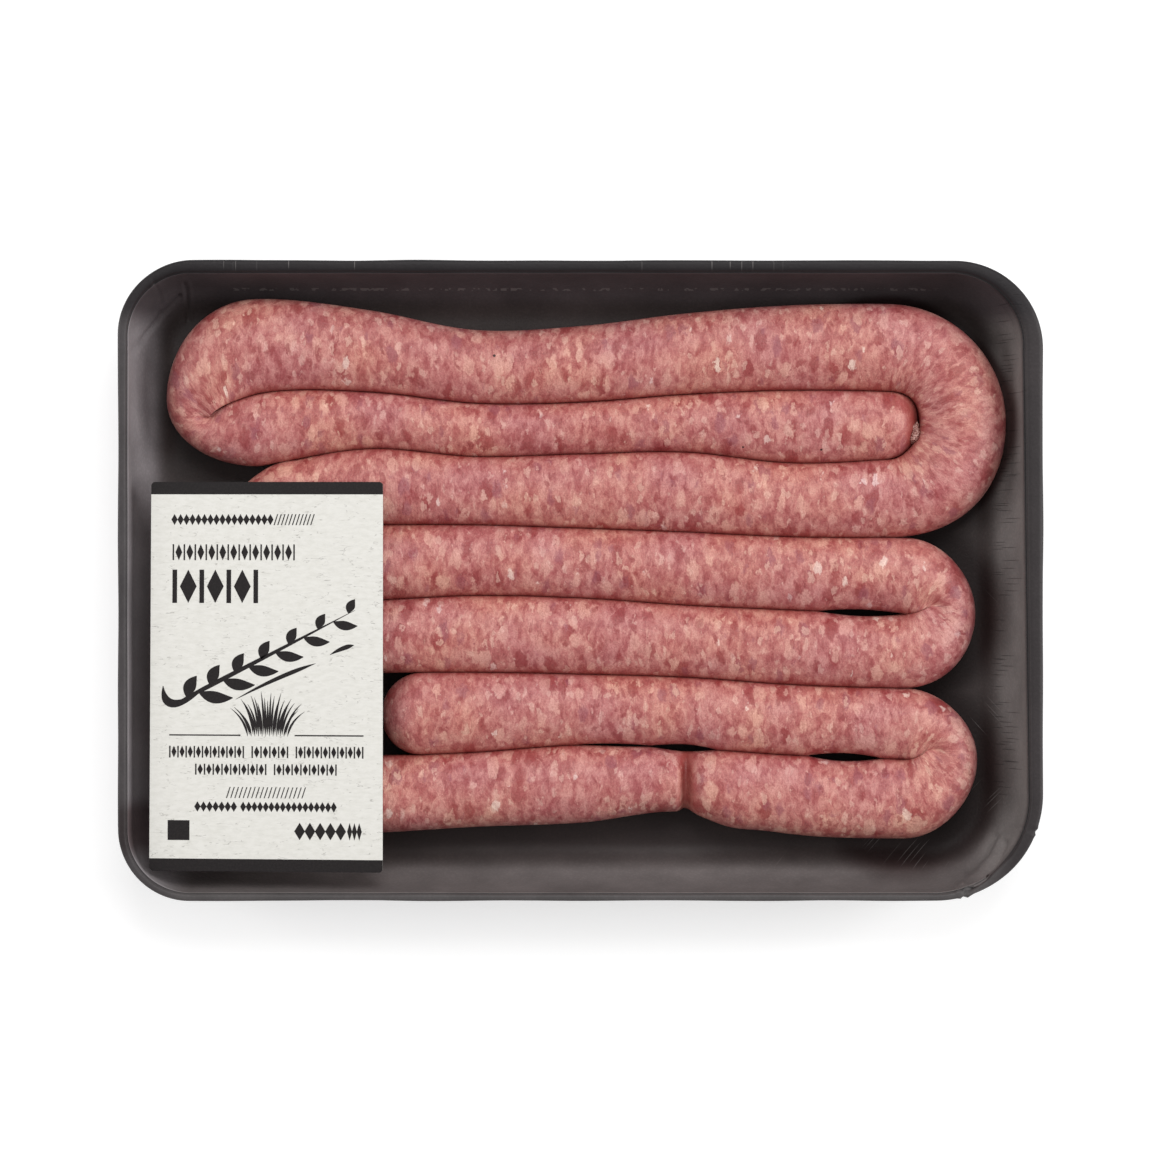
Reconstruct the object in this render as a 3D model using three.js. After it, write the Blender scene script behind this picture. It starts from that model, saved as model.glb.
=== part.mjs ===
// A tray pack of sausage links: one long sausage, linked once by a twist and laid in folds
// in a black foam tray, with a paper label card lying on its left half.
// Millimetres, +Z up. The origin is on the surface that the tray stands on, under its middle.

import * as THREE from "three";
import { mergeVertices } from "three/addons/utils/BufferGeometryUtils.js";

// Tray: a moulded foam dish, its outline a rectangle with four unlike corners.
const TRAY_LENGTH = 260;
const TRAY_WIDTH = 180;
const TRAY_HEIGHT = 30;
const FOAM_THICKNESS = 3.6;
const WALL_THICKNESS = 2.2;
const RIM_THICKNESS = 2.2;
const RIM_DROP = 0.8; // the rim's inner edge lies this far below its crown
const RIM_ROUNDING = 0.9; // how far the rim's outer edge is rounded down
const RIM_CROWN = [0.3, 0.75]; // where the flat of the rim begins and ends, as shares of its width
const COVE_START = 0.06; // share of the cove's quarter circle that the rim takes
const COVE_WIDTH = 12.5; // seen from above, from the rim's inner edge to the flat floor
const CORNER_RADII = [25, 21, 20, 30]; // back right, back left, front left, front right
const RIM_WIDTHS = [3.8, 3.4, 2.5, 2.0]; // right, back, left, front
const CORNER_STEPS = 12;
const COVE_STEPS = 7;

// Sausage: the size of a plain round stretch, and the space kept between two strands.
const SAUSAGE_WIDTH = 21;
const SAUSAGE_HEIGHT = 19.5;
const STRAND_GAP = 0.34;
const FLOOR_GAP = 0.3;
const HEIGHT_POWER = 0.25; // how the height grows with the width
const CROWN_SHARE = 0.5; // share of the height above the widest line
const SECTION_SIDES = 14;
const SIDE_FULLNESS = 0.95; // 1 is an ellipse, and less is squarer
const BOTTOM_FULLNESS = 0.7;
const RUN_STEP = 7.5;
const TURN_STEP_DEGREES = 15;

// Seams: the lines where neighbouring strands meet, from the back to the front of the tray.
// Each holds its y at equal steps of x.
const SEAM_START_X = -120;
const SEAM_STEP_X = 30;
const SEAMS = {
  back: [68, 80.2, 77, 71.4, 72.5, 76.1, 78.4, 78.7, 77],
  first: [45, 53.4, 53.7, 50.5, 50.8, 53, 54.1, 53.7, 52],
  second: [28, 32.9, 37.4, 35.2, 35.9, 36.4, 33.4, 34.5, 36],
  third: [15, 15.4, 15.8, 15.8, 14.9, 13.8, 12.4, 12.2, 12],
  fourth: [-5.6, -5.6, -5.6, -4.3, -5, -7, -8.4, -9.5, -10],
  fifth: [-26.6, -26.6, -26.3, -26.1, -26.6, -27.5, -29.6, -30.6, -31],
  sixth: [-50.5, -50.3, -50, -48.8, -46.8, -47.7, -49.7, -50.8, -51.5],
  front: [-71.5, -71.9, -71.9, -70.2, -69, -65.8, -72.2, -73.5, -73],
};

// Slits that open along a seam: middle, half length and width.
const SLITS = {
  fourth: [{ x: 80, reach: 12.8, width: 1.9 }],
  sixth: [
    { x: 12, reach: 13, width: 0.45 },
    { x: 29.5, reach: 9.5, width: 1.6 },
    { x: 75.2, reach: 11, width: 2.3 },
  ],
};

// The twist between the two links, on the front strand.
const TWIST_X = 29.8;
const TWIST_DEPTH = 0.44; // share of the height that the groove takes
const TWIST_NOTCH = 1.3; // how far the front side is drawn in
const TWIST_REACH_LEFT = 1.5;
const TWIST_REACH_RIGHT = 2.6;
const SHOULDER = { x: 42, rise: 2.2, reach: 9 }; // where the second link swells again
const TWIST_OFFSETS = [-4, -2.4, -1.2, 0, 1.2, 2.4, 4, 7];

// The two ends of the casing.
const RIGHT_END = { x: 95.9, length: 11, power: 2.5 };
const LEFT_END = { x: -56.7, length: 11.6, power: 2 };
const END_SHARES = [0.04, 0.14, 0.3, 0.52, 0.78];

// The turns: middle, and the inner and outer radius at half way round. Fullness is the share by which
// the inner side, the outer side at the back and the outer side in front stand out from ellipses.
const TURNS = {
  backLeft: { x: -98.1, y: 51.3, inner: 0.45, outer: 19.9 },
  backRight: { x: 87.3, y: 44.7, inner: 9.1, outer: 33.9, fullness: [0.045, 0, 0.03] },
  middleLeft: { x: -80.7, y: 15.3, inner: 0.45, outer: 21.3, fullness: [0, -0.06, 0] },
  middleRight: { x: 92.4, y: -9.5, inner: 0.45, outer: 20.2, fullness: [0, -0.02, 0] },
  frontLeft: { x: -81.3, y: -38.7, inner: 11.7, outer: 33.2 },
  frontRight: { x: 91.8, y: -51, inner: 0.45, outer: 21.3, fullness: [0, -0.02, -0.02] },
};
const NO_FULLNESS = [0, 0, 0];

// Label card: its four corners, and how far it lies above the sausage.
const LABEL_CORNERS = [
  [-121.6, -81.8],
  [-55.8, -82.4],
  [-55.7, 27.8],
  [-121, 27.8],
];
const LABEL_THICKNESS = 0.6;
const LABEL_GAP = 0.5;

const foamMaterial = new THREE.MeshStandardMaterial({ color: 0x2c282a, roughness: 0.55, metalness: 0 });
const sausageMaterial = new THREE.MeshStandardMaterial({ color: 0xbe7c75, roughness: 0.42, metalness: 0 });
const cardMaterial = new THREE.MeshStandardMaterial({ color: 0xe4e2dc, roughness: 0.8, metalness: 0 });

// A value between the entries of a list whose entries lie at equal steps, on a smooth curve.
function smoothLookup(values, start, step, x) {
  const place = THREE.MathUtils.clamp((x - start) / step, 0, values.length - 1);
  const index = Math.min(Math.floor(place), values.length - 2);
  const t = place - index;
  const before = values[Math.max(index - 1, 0)];
  const from = values[index];
  const to = values[index + 1];
  const after = values[Math.min(index + 2, values.length - 1)];
  const leave = (to - before) / 2;
  const arrive = (after - from) / 2;
  return (
    from +
    leave * t +
    (3 * (to - from) - 2 * leave - arrive) * t * t +
    (2 * (from - to) + leave + arrive) * t * t * t
  );
}

function seamY(name, x) {
  return smoothLookup(SEAMS[name], SEAM_START_X, SEAM_STEP_X, x);
}

// Half the space between the two strands along a seam, with its slits.
function seamHalfGap(name, x) {
  let width = STRAND_GAP;
  for (const slit of SLITS[name] ?? []) {
    const along = Math.min(Math.abs(x - slit.x) / slit.reach, 1);
    width += slit.width * Math.cos((along * Math.PI) / 2);
  }
  return width / 2;
}

// How deep the groove of the twist is at x, from 0 to 1.
function twistGroove(x) {
  const reach = x < TWIST_X ? TWIST_REACH_LEFT : TWIST_REACH_RIGHT;
  return Math.exp(-(((x - TWIST_X) / reach) ** 2));
}

// One rib runs across the sausage from its left side to its right side, as seen along its way.
// height is a factor on the height of its section, and scale is how far an end has narrowed it.
function makeRib(left, right, height = 1, scale = 1) {
  return { left, right, height, scale };
}

// A rounded end narrows the ribs towards their middle.
function endScale(end, x) {
  const share = Math.min(Math.abs(x - end.x) / end.length, 1);
  return (1 - (1 - share) ** end.power) ** (1 / end.power);
}

function narrowed(rib, scale) {
  const middle = rib.left.clone().lerp(rib.right, 0.5);
  const left = middle.clone().lerp(rib.left, scale);
  const right = middle.clone().lerp(rib.right, scale);
  return makeRib(left, right, rib.height * scale, scale);
}

// A rib of a straight run, square to x, between the seam behind it and the seam before it.
function runRib(run, x) {
  const back = new THREE.Vector2(x, seamY(run.back, x) - seamHalfGap(run.back, x));
  const front = new THREE.Vector2(x, seamY(run.front, x) + seamHalfGap(run.front, x));
  let height = 1;
  if (run.twisted) {
    const groove = twistGroove(x);
    front.y += TWIST_NOTCH * groove;
    front.y -= SHOULDER.rise * Math.exp(-(((x - SHOULDER.x) / SHOULDER.reach) ** 2));
    height -= TWIST_DEPTH * groove;
  }
  const goesRight = run.to > run.from;
  const rib = goesRight ? makeRib(back, front, height) : makeRib(front, back, height);
  return run.end ? narrowed(rib, endScale(run.end, x)) : rib;
}

// Stations of a run: even steps, with those of a rounded end and of the twist put in.
function runStations(run) {
  const length = Math.abs(run.to - run.from);
  const count = Math.ceil(length / RUN_STEP);
  let stations = [];
  for (let i = 0; i <= count; i++) {
    stations.push(THREE.MathUtils.lerp(run.from, run.to, i / count));
  }
  if (run.end) {
    const inward = Math.sign(run.end === RIGHT_END ? -1 : 1);
    stations = stations.filter((x) => Math.abs(x - run.end.x) > run.end.length);
    stations.push(...END_SHARES.map((share) => run.end.x + inward * share * run.end.length));
  }
  if (run.twisted) {
    const reach = Math.max(...TWIST_OFFSETS.map(Math.abs)) + 1;
    stations = stations.filter((x) => Math.abs(x - TWIST_X) > reach);
    stations.push(...TWIST_OFFSETS.map((offset) => TWIST_X + offset));
  }
  const goesRight = run.to > run.from;
  return stations.sort((a, b) => (goesRight ? a - b : b - a));
}

function runRibs(run) {
  return runStations(run).map((x) => runRib(run, x));
}

// The outer radius at an angle, on an ellipse that meets the outer side of the neighbouring run.
function outerRadiusAt(turn, angle, sideReach) {
  const onEllipse = 1 / Math.hypot(Math.cos(angle) / turn.outer, Math.sin(angle) / sideReach);
  const [, backFullness, frontFullness] = turn.fullness ?? NO_FULLNESS;
  const fullness = Math.sin(angle) > 0 ? backFullness : frontFullness;
  return onEllipse * (1 + fullness * Math.sin(2 * angle) ** 2);
}

// Ribs of a turn, between the angles where the runs leave and arrive.
// The radii run from those of the neighbouring runs at the back and the front to the given ones half way.
function turnRibs(turn, way) {
  const reachOf = (seam) => Math.abs(seamY(seam, turn.x) - turn.y) - STRAND_GAP / 2;
  const backOuter = reachOf(way.back);
  const frontOuter = reachOf(way.front);
  const backInner = way.innerBack ? reachOf(way.innerBack) + STRAND_GAP : turn.inner;
  const frontInner = way.innerFront ? reachOf(way.innerFront) + STRAND_GAP : turn.inner;
  const [innerFullness] = turn.fullness ?? NO_FULLNESS;
  const count = Math.round(Math.abs(way.to - way.from) / TURN_STEP_DEGREES);
  const ribs = [];
  for (let i = 1; i < count; i++) {
    const angle = THREE.MathUtils.degToRad(THREE.MathUtils.lerp(way.from, way.to, i / count));
    const endWeight = Math.sin(angle) ** 2;
    const towardsBack = Math.sin(angle) > 0;
    const outerRadius = outerRadiusAt(turn, angle, towardsBack ? backOuter : frontOuter);
    const plainInner = THREE.MathUtils.lerp(turn.inner, towardsBack ? backInner : frontInner, endWeight);
    const innerRadius = plainInner * (1 + innerFullness * Math.sin(2 * angle) ** 2);
    const direction = new THREE.Vector2(Math.cos(angle), Math.sin(angle));
    const centre = new THREE.Vector2(turn.x, turn.y);
    const inner = centre.clone().addScaledVector(direction, innerRadius);
    const outer = centre.clone().addScaledVector(direction, outerRadius);
    const turnsLeft = way.to > way.from;
    ribs.push(turnsLeft ? makeRib(inner, outer) : makeRib(outer, inner));
  }
  return ribs;
}

// The way of the sausage from its right end to its left end.
function routeRibs() {
  const { backLeft, backRight, middleLeft, middleRight, frontLeft, frontRight } = TURNS;
  return [
    ...runRibs({ from: RIGHT_END.x, to: backLeft.x, back: "first", front: "second", end: RIGHT_END }),
    ...turnRibs(backLeft, { from: -90, to: -270, back: "back", front: "second" }),
    ...runRibs({ from: backLeft.x, to: backRight.x, back: "back", front: "first" }),
    ...turnRibs(backRight, {
      from: 90,
      to: -90,
      back: "back",
      front: "third",
      innerBack: "first",
      innerFront: "second",
    }),
    ...runRibs({ from: backRight.x, to: middleLeft.x, back: "second", front: "third" }),
    ...turnRibs(middleLeft, { from: 90, to: 270, back: "second", front: "fourth" }),
    ...runRibs({ from: middleLeft.x, to: middleRight.x, back: "third", front: "fourth" }),
    ...turnRibs(middleRight, { from: 90, to: -90, back: "third", front: "fifth" }),
    ...runRibs({ from: middleRight.x, to: frontLeft.x, back: "fourth", front: "fifth" }),
    ...turnRibs(frontLeft, {
      from: 90,
      to: 270,
      back: "fourth",
      front: "front",
      innerBack: "fifth",
      innerFront: "sixth",
    }),
    ...runRibs({ from: frontLeft.x, to: frontRight.x, back: "sixth", front: "front", twisted: true }),
    ...turnRibs(frontRight, { from: -90, to: 90, back: "fifth", front: "front" }),
    ...runRibs({ from: frontRight.x, to: LEFT_END.x, back: "fifth", front: "sixth", end: LEFT_END }),
  ];
}

// The height of the casing at a rib: a wide stretch stands a little higher than a narrow one.
function casingHeight(rib) {
  const width = rib.left.distanceTo(rib.right) / rib.scale;
  return SAUSAGE_HEIGHT * (width / SAUSAGE_WIDTH) ** HEIGHT_POWER;
}

function signedPower(value, power) {
  return Math.sign(value) * Math.abs(value) ** power;
}

// A point of the section: angle 0 is the right side, and a quarter turn is the crown.
function sectionPoint(rib, angle) {
  const middle = rib.left.clone().lerp(rib.right, 0.5);
  const across = signedPower(Math.cos(angle), SIDE_FULLNESS);
  const flat = middle.lerp(rib.right, across);
  const height = casingHeight(rib);
  const rise = Math.sin(angle);
  const fullness = rise > 0 ? SIDE_FULLNESS : BOTTOM_FULLNESS;
  const share = rise > 0 ? CROWN_SHARE : 1 - CROWN_SHARE;
  const widest = FOAM_THICKNESS + FLOOR_GAP + (1 - CROWN_SHARE) * height;
  const lift = signedPower(rise, fullness) * share * height * rib.height;
  return new THREE.Vector3(flat.x, flat.y, widest + lift);
}

// A closed ball is drawn out along the ribs: each of its rows of points becomes one section.
function makeSausage() {
  const ribs = routeRibs();
  const geometry = new THREE.SphereGeometry(1, SECTION_SIDES, ribs.length + 1);
  const position = geometry.getAttribute("position");
  const columns = SECTION_SIDES + 1;
  const tips = [narrowed(ribs[0], 0.001), narrowed(ribs.at(-1), 0.001)];
  tips[0].left.x = tips[0].right.x = RIGHT_END.x;
  tips[1].left.x = tips[1].right.x = LEFT_END.x;
  for (let i = 0; i < position.count; i++) {
    const row = Math.floor(i / columns);
    const angle = ((i % columns) / SECTION_SIDES) * 2 * Math.PI;
    const isTip = row === 0 || row === ribs.length + 1;
    const rib = isTip ? tips[row === 0 ? 0 : 1] : ribs[row - 1];
    const point = sectionPoint(rib, isTip ? 0 : angle);
    position.setXYZ(i, point.x, point.y, point.z);
  }
  return closedMesh("sausage_string", geometry, sausageMaterial);
}

// Cross-section of the tray from the middle of its underside, round the rim and back to the middle
// of its floor. Each point holds its inset from the outline and its height; a null inset is the middle.
function trayProfile(rimWidth) {
  const rimEdge = TRAY_HEIGHT - RIM_DROP;
  const floorInset = rimWidth + COVE_WIDTH;
  const coveHeight = rimEdge - FOAM_THICKNESS;
  const points = [[null, 0]];
  for (let i = COVE_STEPS; i >= 2; i--) {
    const angle = (i / COVE_STEPS) * (Math.PI / 2);
    points.push([
      floorInset - (COVE_WIDTH + WALL_THICKNESS) * Math.cos(angle),
      rimEdge * (1 - Math.sin(angle)),
    ]);
  }
  points.push([rimWidth / 2, TRAY_HEIGHT - RIM_THICKNESS - RIM_DROP]);
  points.push([0, TRAY_HEIGHT - RIM_THICKNESS]);
  points.push([0, TRAY_HEIGHT - RIM_ROUNDING]);
  points.push(...RIM_CROWN.map((share) => [rimWidth * share, TRAY_HEIGHT]));
  for (let i = 0; i <= COVE_STEPS; i++) {
    const angle = THREE.MathUtils.lerp(COVE_START, 1, i / COVE_STEPS) * (Math.PI / 2);
    points.push([floorInset - COVE_WIDTH * Math.cos(angle), rimEdge - coveHeight * Math.sin(angle)]);
  }
  points.push([null, FOAM_THICKNESS]);
  return points;
}

// The profile is carried round the outline: each quarter of the turns is one corner,
// and the straight sides lie between the last point of a corner and the first of the next.
function makeTray() {
  const columns = CORNER_STEPS * 4;
  const plainProfile = trayProfile(RIM_WIDTHS[0]).map(([, z]) => new THREE.Vector2(1, z));
  const geometry = new THREE.LatheGeometry(plainProfile, columns);
  const position = geometry.getAttribute("position");
  for (let column = 0; column <= columns; column++) {
    const place = column % columns;
    const corner = Math.floor(place / CORNER_STEPS);
    const share = (place % CORNER_STEPS) / (CORNER_STEPS - 1);
    const angle = (corner + share) * (Math.PI / 2);
    const rimWidth = THREE.MathUtils.lerp(RIM_WIDTHS[corner], RIM_WIDTHS[(corner + 1) % 4], share);
    const radius = CORNER_RADII[corner];
    const signX = corner === 0 || corner === 3 ? 1 : -1;
    const signY = corner < 2 ? 1 : -1;
    const centreX = signX * (TRAY_LENGTH / 2 - radius);
    const centreY = signY * (TRAY_WIDTH / 2 - radius);
    trayProfile(rimWidth).forEach(([inset, z], row) => {
      const reach = inset === null ? 0 : radius - inset;
      const spread = inset === null ? 0 : 1;
      position.setXYZ(
        column * plainProfile.length + row,
        spread * centreX + reach * Math.cos(angle),
        spread * centreY + reach * Math.sin(angle),
        z,
      );
    });
  }
  return closedMesh("tray", geometry, foamMaterial);
}

function makeLabel() {
  const outline = new THREE.Shape(LABEL_CORNERS.map(([x, y]) => new THREE.Vector2(x, y)));
  const geometry = new THREE.ExtrudeGeometry(outline, { depth: LABEL_THICKNESS, bevelEnabled: false });
  const mesh = closedMesh("label_card", geometry, cardMaterial);
  const highest = Math.max(...routeRibs().map(casingHeight));
  mesh.position.z = FOAM_THICKNESS + FLOOR_GAP + highest + LABEL_GAP;
  return mesh;
}

// Points that lie in one place become one, so that the surface is closed.
function closedMesh(name, geometry, material) {
  geometry.deleteAttribute("normal");
  geometry.deleteAttribute("uv");
  const closed = mergeVertices(geometry, 1e-4);
  closed.computeVertexNormals();
  const mesh = new THREE.Mesh(closed, material);
  mesh.name = name;
  return mesh;
}

const pack = new THREE.Group();
pack.name = "sausage_tray_pack";
pack.add(makeTray(), makeSausage(), makeLabel());

export default pack;
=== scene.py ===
"""Looks of a tray pack of sausage links.

A black foam tray holds one long sausage, linked once by a twist and laid in folds, and a paper
label card lies over its left part. Sizes are in millimetres until a vertex is placed.
"""

import logging
import math
from collections.abc import Iterator, Sequence
from dataclasses import dataclass, field
from enum import Enum
from functools import reduce

import bmesh
import bpy
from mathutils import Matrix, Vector, noise


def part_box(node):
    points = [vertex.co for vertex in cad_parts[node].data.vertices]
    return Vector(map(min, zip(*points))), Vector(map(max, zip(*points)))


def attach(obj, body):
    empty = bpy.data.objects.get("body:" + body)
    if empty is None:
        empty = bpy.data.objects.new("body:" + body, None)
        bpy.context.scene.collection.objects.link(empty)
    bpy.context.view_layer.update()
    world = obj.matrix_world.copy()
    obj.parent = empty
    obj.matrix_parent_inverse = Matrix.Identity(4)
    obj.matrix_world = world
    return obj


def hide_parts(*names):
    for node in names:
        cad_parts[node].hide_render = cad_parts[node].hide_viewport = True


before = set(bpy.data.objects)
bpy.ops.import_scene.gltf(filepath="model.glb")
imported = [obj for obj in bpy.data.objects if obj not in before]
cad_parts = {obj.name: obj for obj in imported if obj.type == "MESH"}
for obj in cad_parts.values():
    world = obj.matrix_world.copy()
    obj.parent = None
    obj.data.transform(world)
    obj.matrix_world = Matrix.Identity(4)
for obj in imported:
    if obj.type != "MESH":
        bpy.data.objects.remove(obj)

LOG = logging.getLogger("sausage_pack")
MM = 0.001
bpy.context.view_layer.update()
BODY = "root"
# Half the width of the step by which a mask picks the cells that it shows.
PICK = 0.02
# Vertices that are nearer than this are merged.
WELD = 0.004 * MM
# The smallest share of a width, and the shortest step along a crease.
LEAST = 0.01
Triple = tuple[float, float, float]
Colour = Triple
Stops = tuple[tuple[float, Colour], ...]
Span = tuple[float, float]
Socket = bpy.types.NodeSocket
Piece = bpy.types.Object
Shape = bmesh.types.BMesh


def from_srgb(red: int, green: int, blue: int) -> Colour:
    """Turns a colour as a screen shows it, 0 to 255, into the linear one that a shader takes.

    Args:
        red: The red level.
        green: The green level.
        blue: The blue level.

    Returns:
        The linear colour.
    """
    levels = (red / 255, green / 255, blue / 255)
    return tuple(c / 12.92 if c <= 0.04045 else ((c + 0.055) / 1.055) ** 2.4 for c in levels)


def mix(start: float, end: float, share: float) -> float:
    """The value a share of the way from start to end."""
    return start + (end - start) * share


def clamp(value: float, low: float = 0.0, high: float = 1.0) -> float:
    """The value, kept between low and high."""
    return max(low, min(high, value))


def soft_step(low: float, high: float, value: float) -> float:
    """Rises smoothly from 0 at low to 1 at high."""
    share = clamp((value - low) / (high - low))
    return share * share * (3 - 2 * share)


def signed_power(value: float, power: float) -> float:
    """Raises the size of a value to a power and keeps its sign."""
    return math.copysign(abs(value) ** power, value)


class Graph:
    """Builds the node graph of one material, a node at a time."""

    def __init__(self, name: str) -> None:
        """Starts a material that holds only its output and a Principled shader.

        Args:
            name: The material's name.
        """
        self.material = bpy.data.materials.new(name)
        self.material.use_nodes = True
        self.tree = self.material.node_tree
        self.tree.nodes.clear()
        self.output = self.tree.nodes.new("ShaderNodeOutputMaterial")
        self.shader = self.tree.nodes.new("ShaderNodeBsdfPrincipled")
        self.tree.links.new(self.shader.outputs["BSDF"], self.output.inputs["Surface"])

    def add(self, kind: str, **settings: object) -> bpy.types.Node:
        """Adds a node and sets its properties.

        Args:
            kind: The node's type, without the words ShaderNode.
            settings: Properties of the node by name.

        Returns:
            The node.
        """
        node = self.tree.nodes.new("ShaderNode" + kind)
        for key, value in settings.items():
            setattr(node, key, value)
        return node

    def put(self, socket: Socket, value: object) -> None:
        """Links an output to an input, or sets the input to a constant.

        Args:
            socket: The input.
            value: An output, a colour or a number.
        """
        if isinstance(value, bpy.types.NodeSocket):
            self.tree.links.new(value, socket)
        elif isinstance(value, tuple) and len(value) == 3 and socket.type == "RGBA":
            socket.default_value = (*value, 1.0)
        else:
            socket.default_value = value

    def operate(self, kind: str, operation: str, values: tuple[object, ...]) -> Socket:
        """A node that works out one result from its operands.

        Args:
            kind: The node's type.
            operation: What it works out.
            values: Its operands, each an output or a constant.

        Returns:
            The result.
        """
        node = self.add(kind, operation=operation)
        for socket, value in zip(node.inputs, values):
            self.put(socket, value)
        return node.outputs[0]

    def math(self, operation: str, *values: object) -> Socket:
        """A Math node on one to three values."""
        return self.operate("Math", operation, values)

    def vector(self, operation: str, *values: object) -> Socket:
        """A Vector Math node on its operands."""
        return self.operate("VectorMath", operation, values)

    def times(self, *values: object) -> Socket:
        """The product of two or more values."""
        return reduce(lambda first, second: self.math("MULTIPLY", first, second), values)

    def largest(self, *values: object) -> Socket:
        """The largest of two or more values."""
        return reduce(lambda first, second: self.math("MAXIMUM", first, second), values)

    def scaled(self, vector: object, scale: Triple) -> Socket:
        """A vector with each axis multiplied by its own factor."""
        return self.vector("MULTIPLY", vector, scale)

    def noise(
        self, vector: object, scale: float, detail: float = 2.0, rough: float = 0.5, output: str = "Fac"
    ) -> Socket:
        """A Noise texture on a vector: its level, or the output that is named.

        Args:
            vector: The coordinates.
            scale: How many features there are to a millimetre.
            detail: How many finer layers it has.
            rough: How strong those are.
            output: Which output is wanted.

        Returns:
            The output.
        """
        node = self.add("TexNoise")
        self.put(node.inputs["Vector"], vector)
        for key, value in (("Scale", scale), ("Detail", detail), ("Roughness", rough)):
            node.inputs[key].default_value = value
        return node.outputs[output]

    def cells(self, vector: object, scale: float) -> bpy.types.Node:
        """A Voronoi texture on a vector.

        Args:
            vector: The coordinates.
            scale: How many cells there are to a millimetre.

        Returns:
            The node.
        """
        node = self.add("TexVoronoi")
        self.put(node.inputs["Vector"], vector)
        node.inputs["Scale"].default_value = scale
        return node

    def split(self, colour: object) -> list[Socket]:
        """The red, green and blue of a colour.

        Args:
            colour: The colour.

        Returns:
            Its three levels.
        """
        node = self.add("SeparateColor")
        self.put(node.inputs[0], colour)
        return list(node.outputs)

    def ramp(self, value: object, stops: Stops) -> Socket:
        """Colours a value by a row of stops.

        Args:
            value: What is looked up.
            stops: Each stop's place and linear colour.

        Returns:
            The colour.
        """
        node = self.add("ValToRGB")
        elements = node.color_ramp.elements
        while len(elements) < len(stops):
            elements.new(1.0)
        for element, (place, colour) in zip(elements, stops):
            element.position = place
            element.color = (*colour, 1.0)
        self.put(node.inputs[0], value)
        return node.outputs[0]

    def shaded(self, colour: object, share: float, value: object, stops: Stops) -> Socket:
        """A colour multiplied, by a share, by what a value is in a row of stops."""
        return self.blend("MULTIPLY", share, colour, self.ramp(value, stops))

    def between(self, value: object, low: float, high: float) -> Socket:
        """Rises smoothly from 0 at low to 1 at high, or falls where low is the higher.

        Args:
            value: What is looked up.
            low: Where the result is 0.
            high: Where the result is 1.

        Returns:
            The result.
        """
        node = self.add("MapRange", interpolation_type="SMOOTHSTEP")
        self.put(node.inputs[0], value)
        ends = (0.0, 1.0) if low < high else (1.0, 0.0)
        for socket, level in zip(list(node.inputs)[1:], (min(low, high), max(low, high), *ends)):
            socket.default_value = level
        return node.outputs[0]

    def within(self, axes: tuple[Socket, ...], zones: tuple[Span, ...]) -> Socket:
        """Where each coordinate is past its zone, from 0 to 1.

        Args:
            axes: The coordinates.
            zones: For each, where the mask is 0 and where it is 1.

        Returns:
            The mask.
        """
        return self.times(*(self.between(axis, *zone) for axis, zone in zip(axes, zones)))

    def blend(self, kind: str, share: object, first: object, second: object) -> Socket:
        """Mixes two colours by a blend mode.

        Args:
            kind: The blend mode.
            share: How much of it shows.
            first: The colour underneath.
            second: The colour that is laid over it.

        Returns:
            The mixed colour.
        """
        node = self.add("Mix", data_type="RGBA", blend_type=kind)
        for index, value in ((0, share), (6, first), (7, second)):
            self.put(node.inputs[index], value)
        return node.outputs[2]

    def bump(self, height: object, depth: float, strength: float) -> Socket:
        """A Bump node.

        Args:
            height: A value, 0 to 1.
            depth: How deep the full range is, in millimetres.
            strength: How much of it shows.

        Returns:
            The bumped normal.
        """
        node = self.add("Bump")
        node.inputs["Strength"].default_value = strength
        node.inputs["Distance"].default_value = depth * MM
        self.put(node.inputs["Height"], height)
        return node.outputs[0]

    def axes(self, vector: object) -> list[Socket]:
        """The x, y and z of a vector.

        Args:
            vector: The vector.

        Returns:
            Its three parts.
        """
        node = self.add("SeparateXYZ")
        self.put(node.inputs[0], vector)
        return list(node.outputs)

    def swapped(self, vector: object) -> Socket:
        """A vector with its x and y exchanged.

        Args:
            vector: The vector.

        Returns:
            The changed vector.
        """
        x, y, z = self.axes(vector)
        joined = self.add("CombineXYZ")
        for socket, value in zip(joined.inputs, (y, x, z)):
            self.put(socket, value)
        return joined.outputs[0]

    def place(self, attribute: str = "") -> Socket:
        """Coordinates in millimetres: the piece's own attribute, or else its Object coordinates.

        Args:
            attribute: The attribute's name, or nothing.

        Returns:
            The coordinates.
        """
        if attribute:
            source = self.add("Attribute", attribute_name=attribute).outputs["Vector"]
        else:
            source = self.add("TexCoord").outputs["Object"]
        return self.scaled(source, (1 / MM, 1 / MM, 1 / MM))

    def level(self, attribute: str) -> Socket:
        """The piece's own attribute as a single value."""
        return self.add("Attribute", attribute_name=attribute).outputs["Fac"]

    def finished(
        self, colour: object, roughness: float, specular: float = 0.5, normal: Socket | None = None
    ) -> bpy.types.Material:
        """Sets the shader.

        Args:
            colour: The base colour.
            roughness: The roughness.
            specular: The specular level.
            normal: The bumped normal, if any.

        Returns:
            The material.
        """
        self.put(self.shader.inputs["Base Color"], colour)
        self.shader.inputs["Roughness"].default_value = roughness
        self.shader.inputs["Specular IOR Level"].default_value = specular
        if normal is not None:
            self.put(self.shader.inputs["Normal"], normal)
        return self.material


class Seam(Enum):
    """The lines where neighbouring strands meet, from the back to the front of the tray."""

    BACK = "back"
    FIRST = "first"
    SECOND = "second"
    THIRD = "third"
    FOURTH = "fourth"
    FIFTH = "fifth"
    SIXTH = "sixth"
    FRONT = "front"


@dataclass(frozen=True)
class Slit:
    """An opening along a seam: its middle, half length and width."""

    x: float
    reach: float
    width: float


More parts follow.
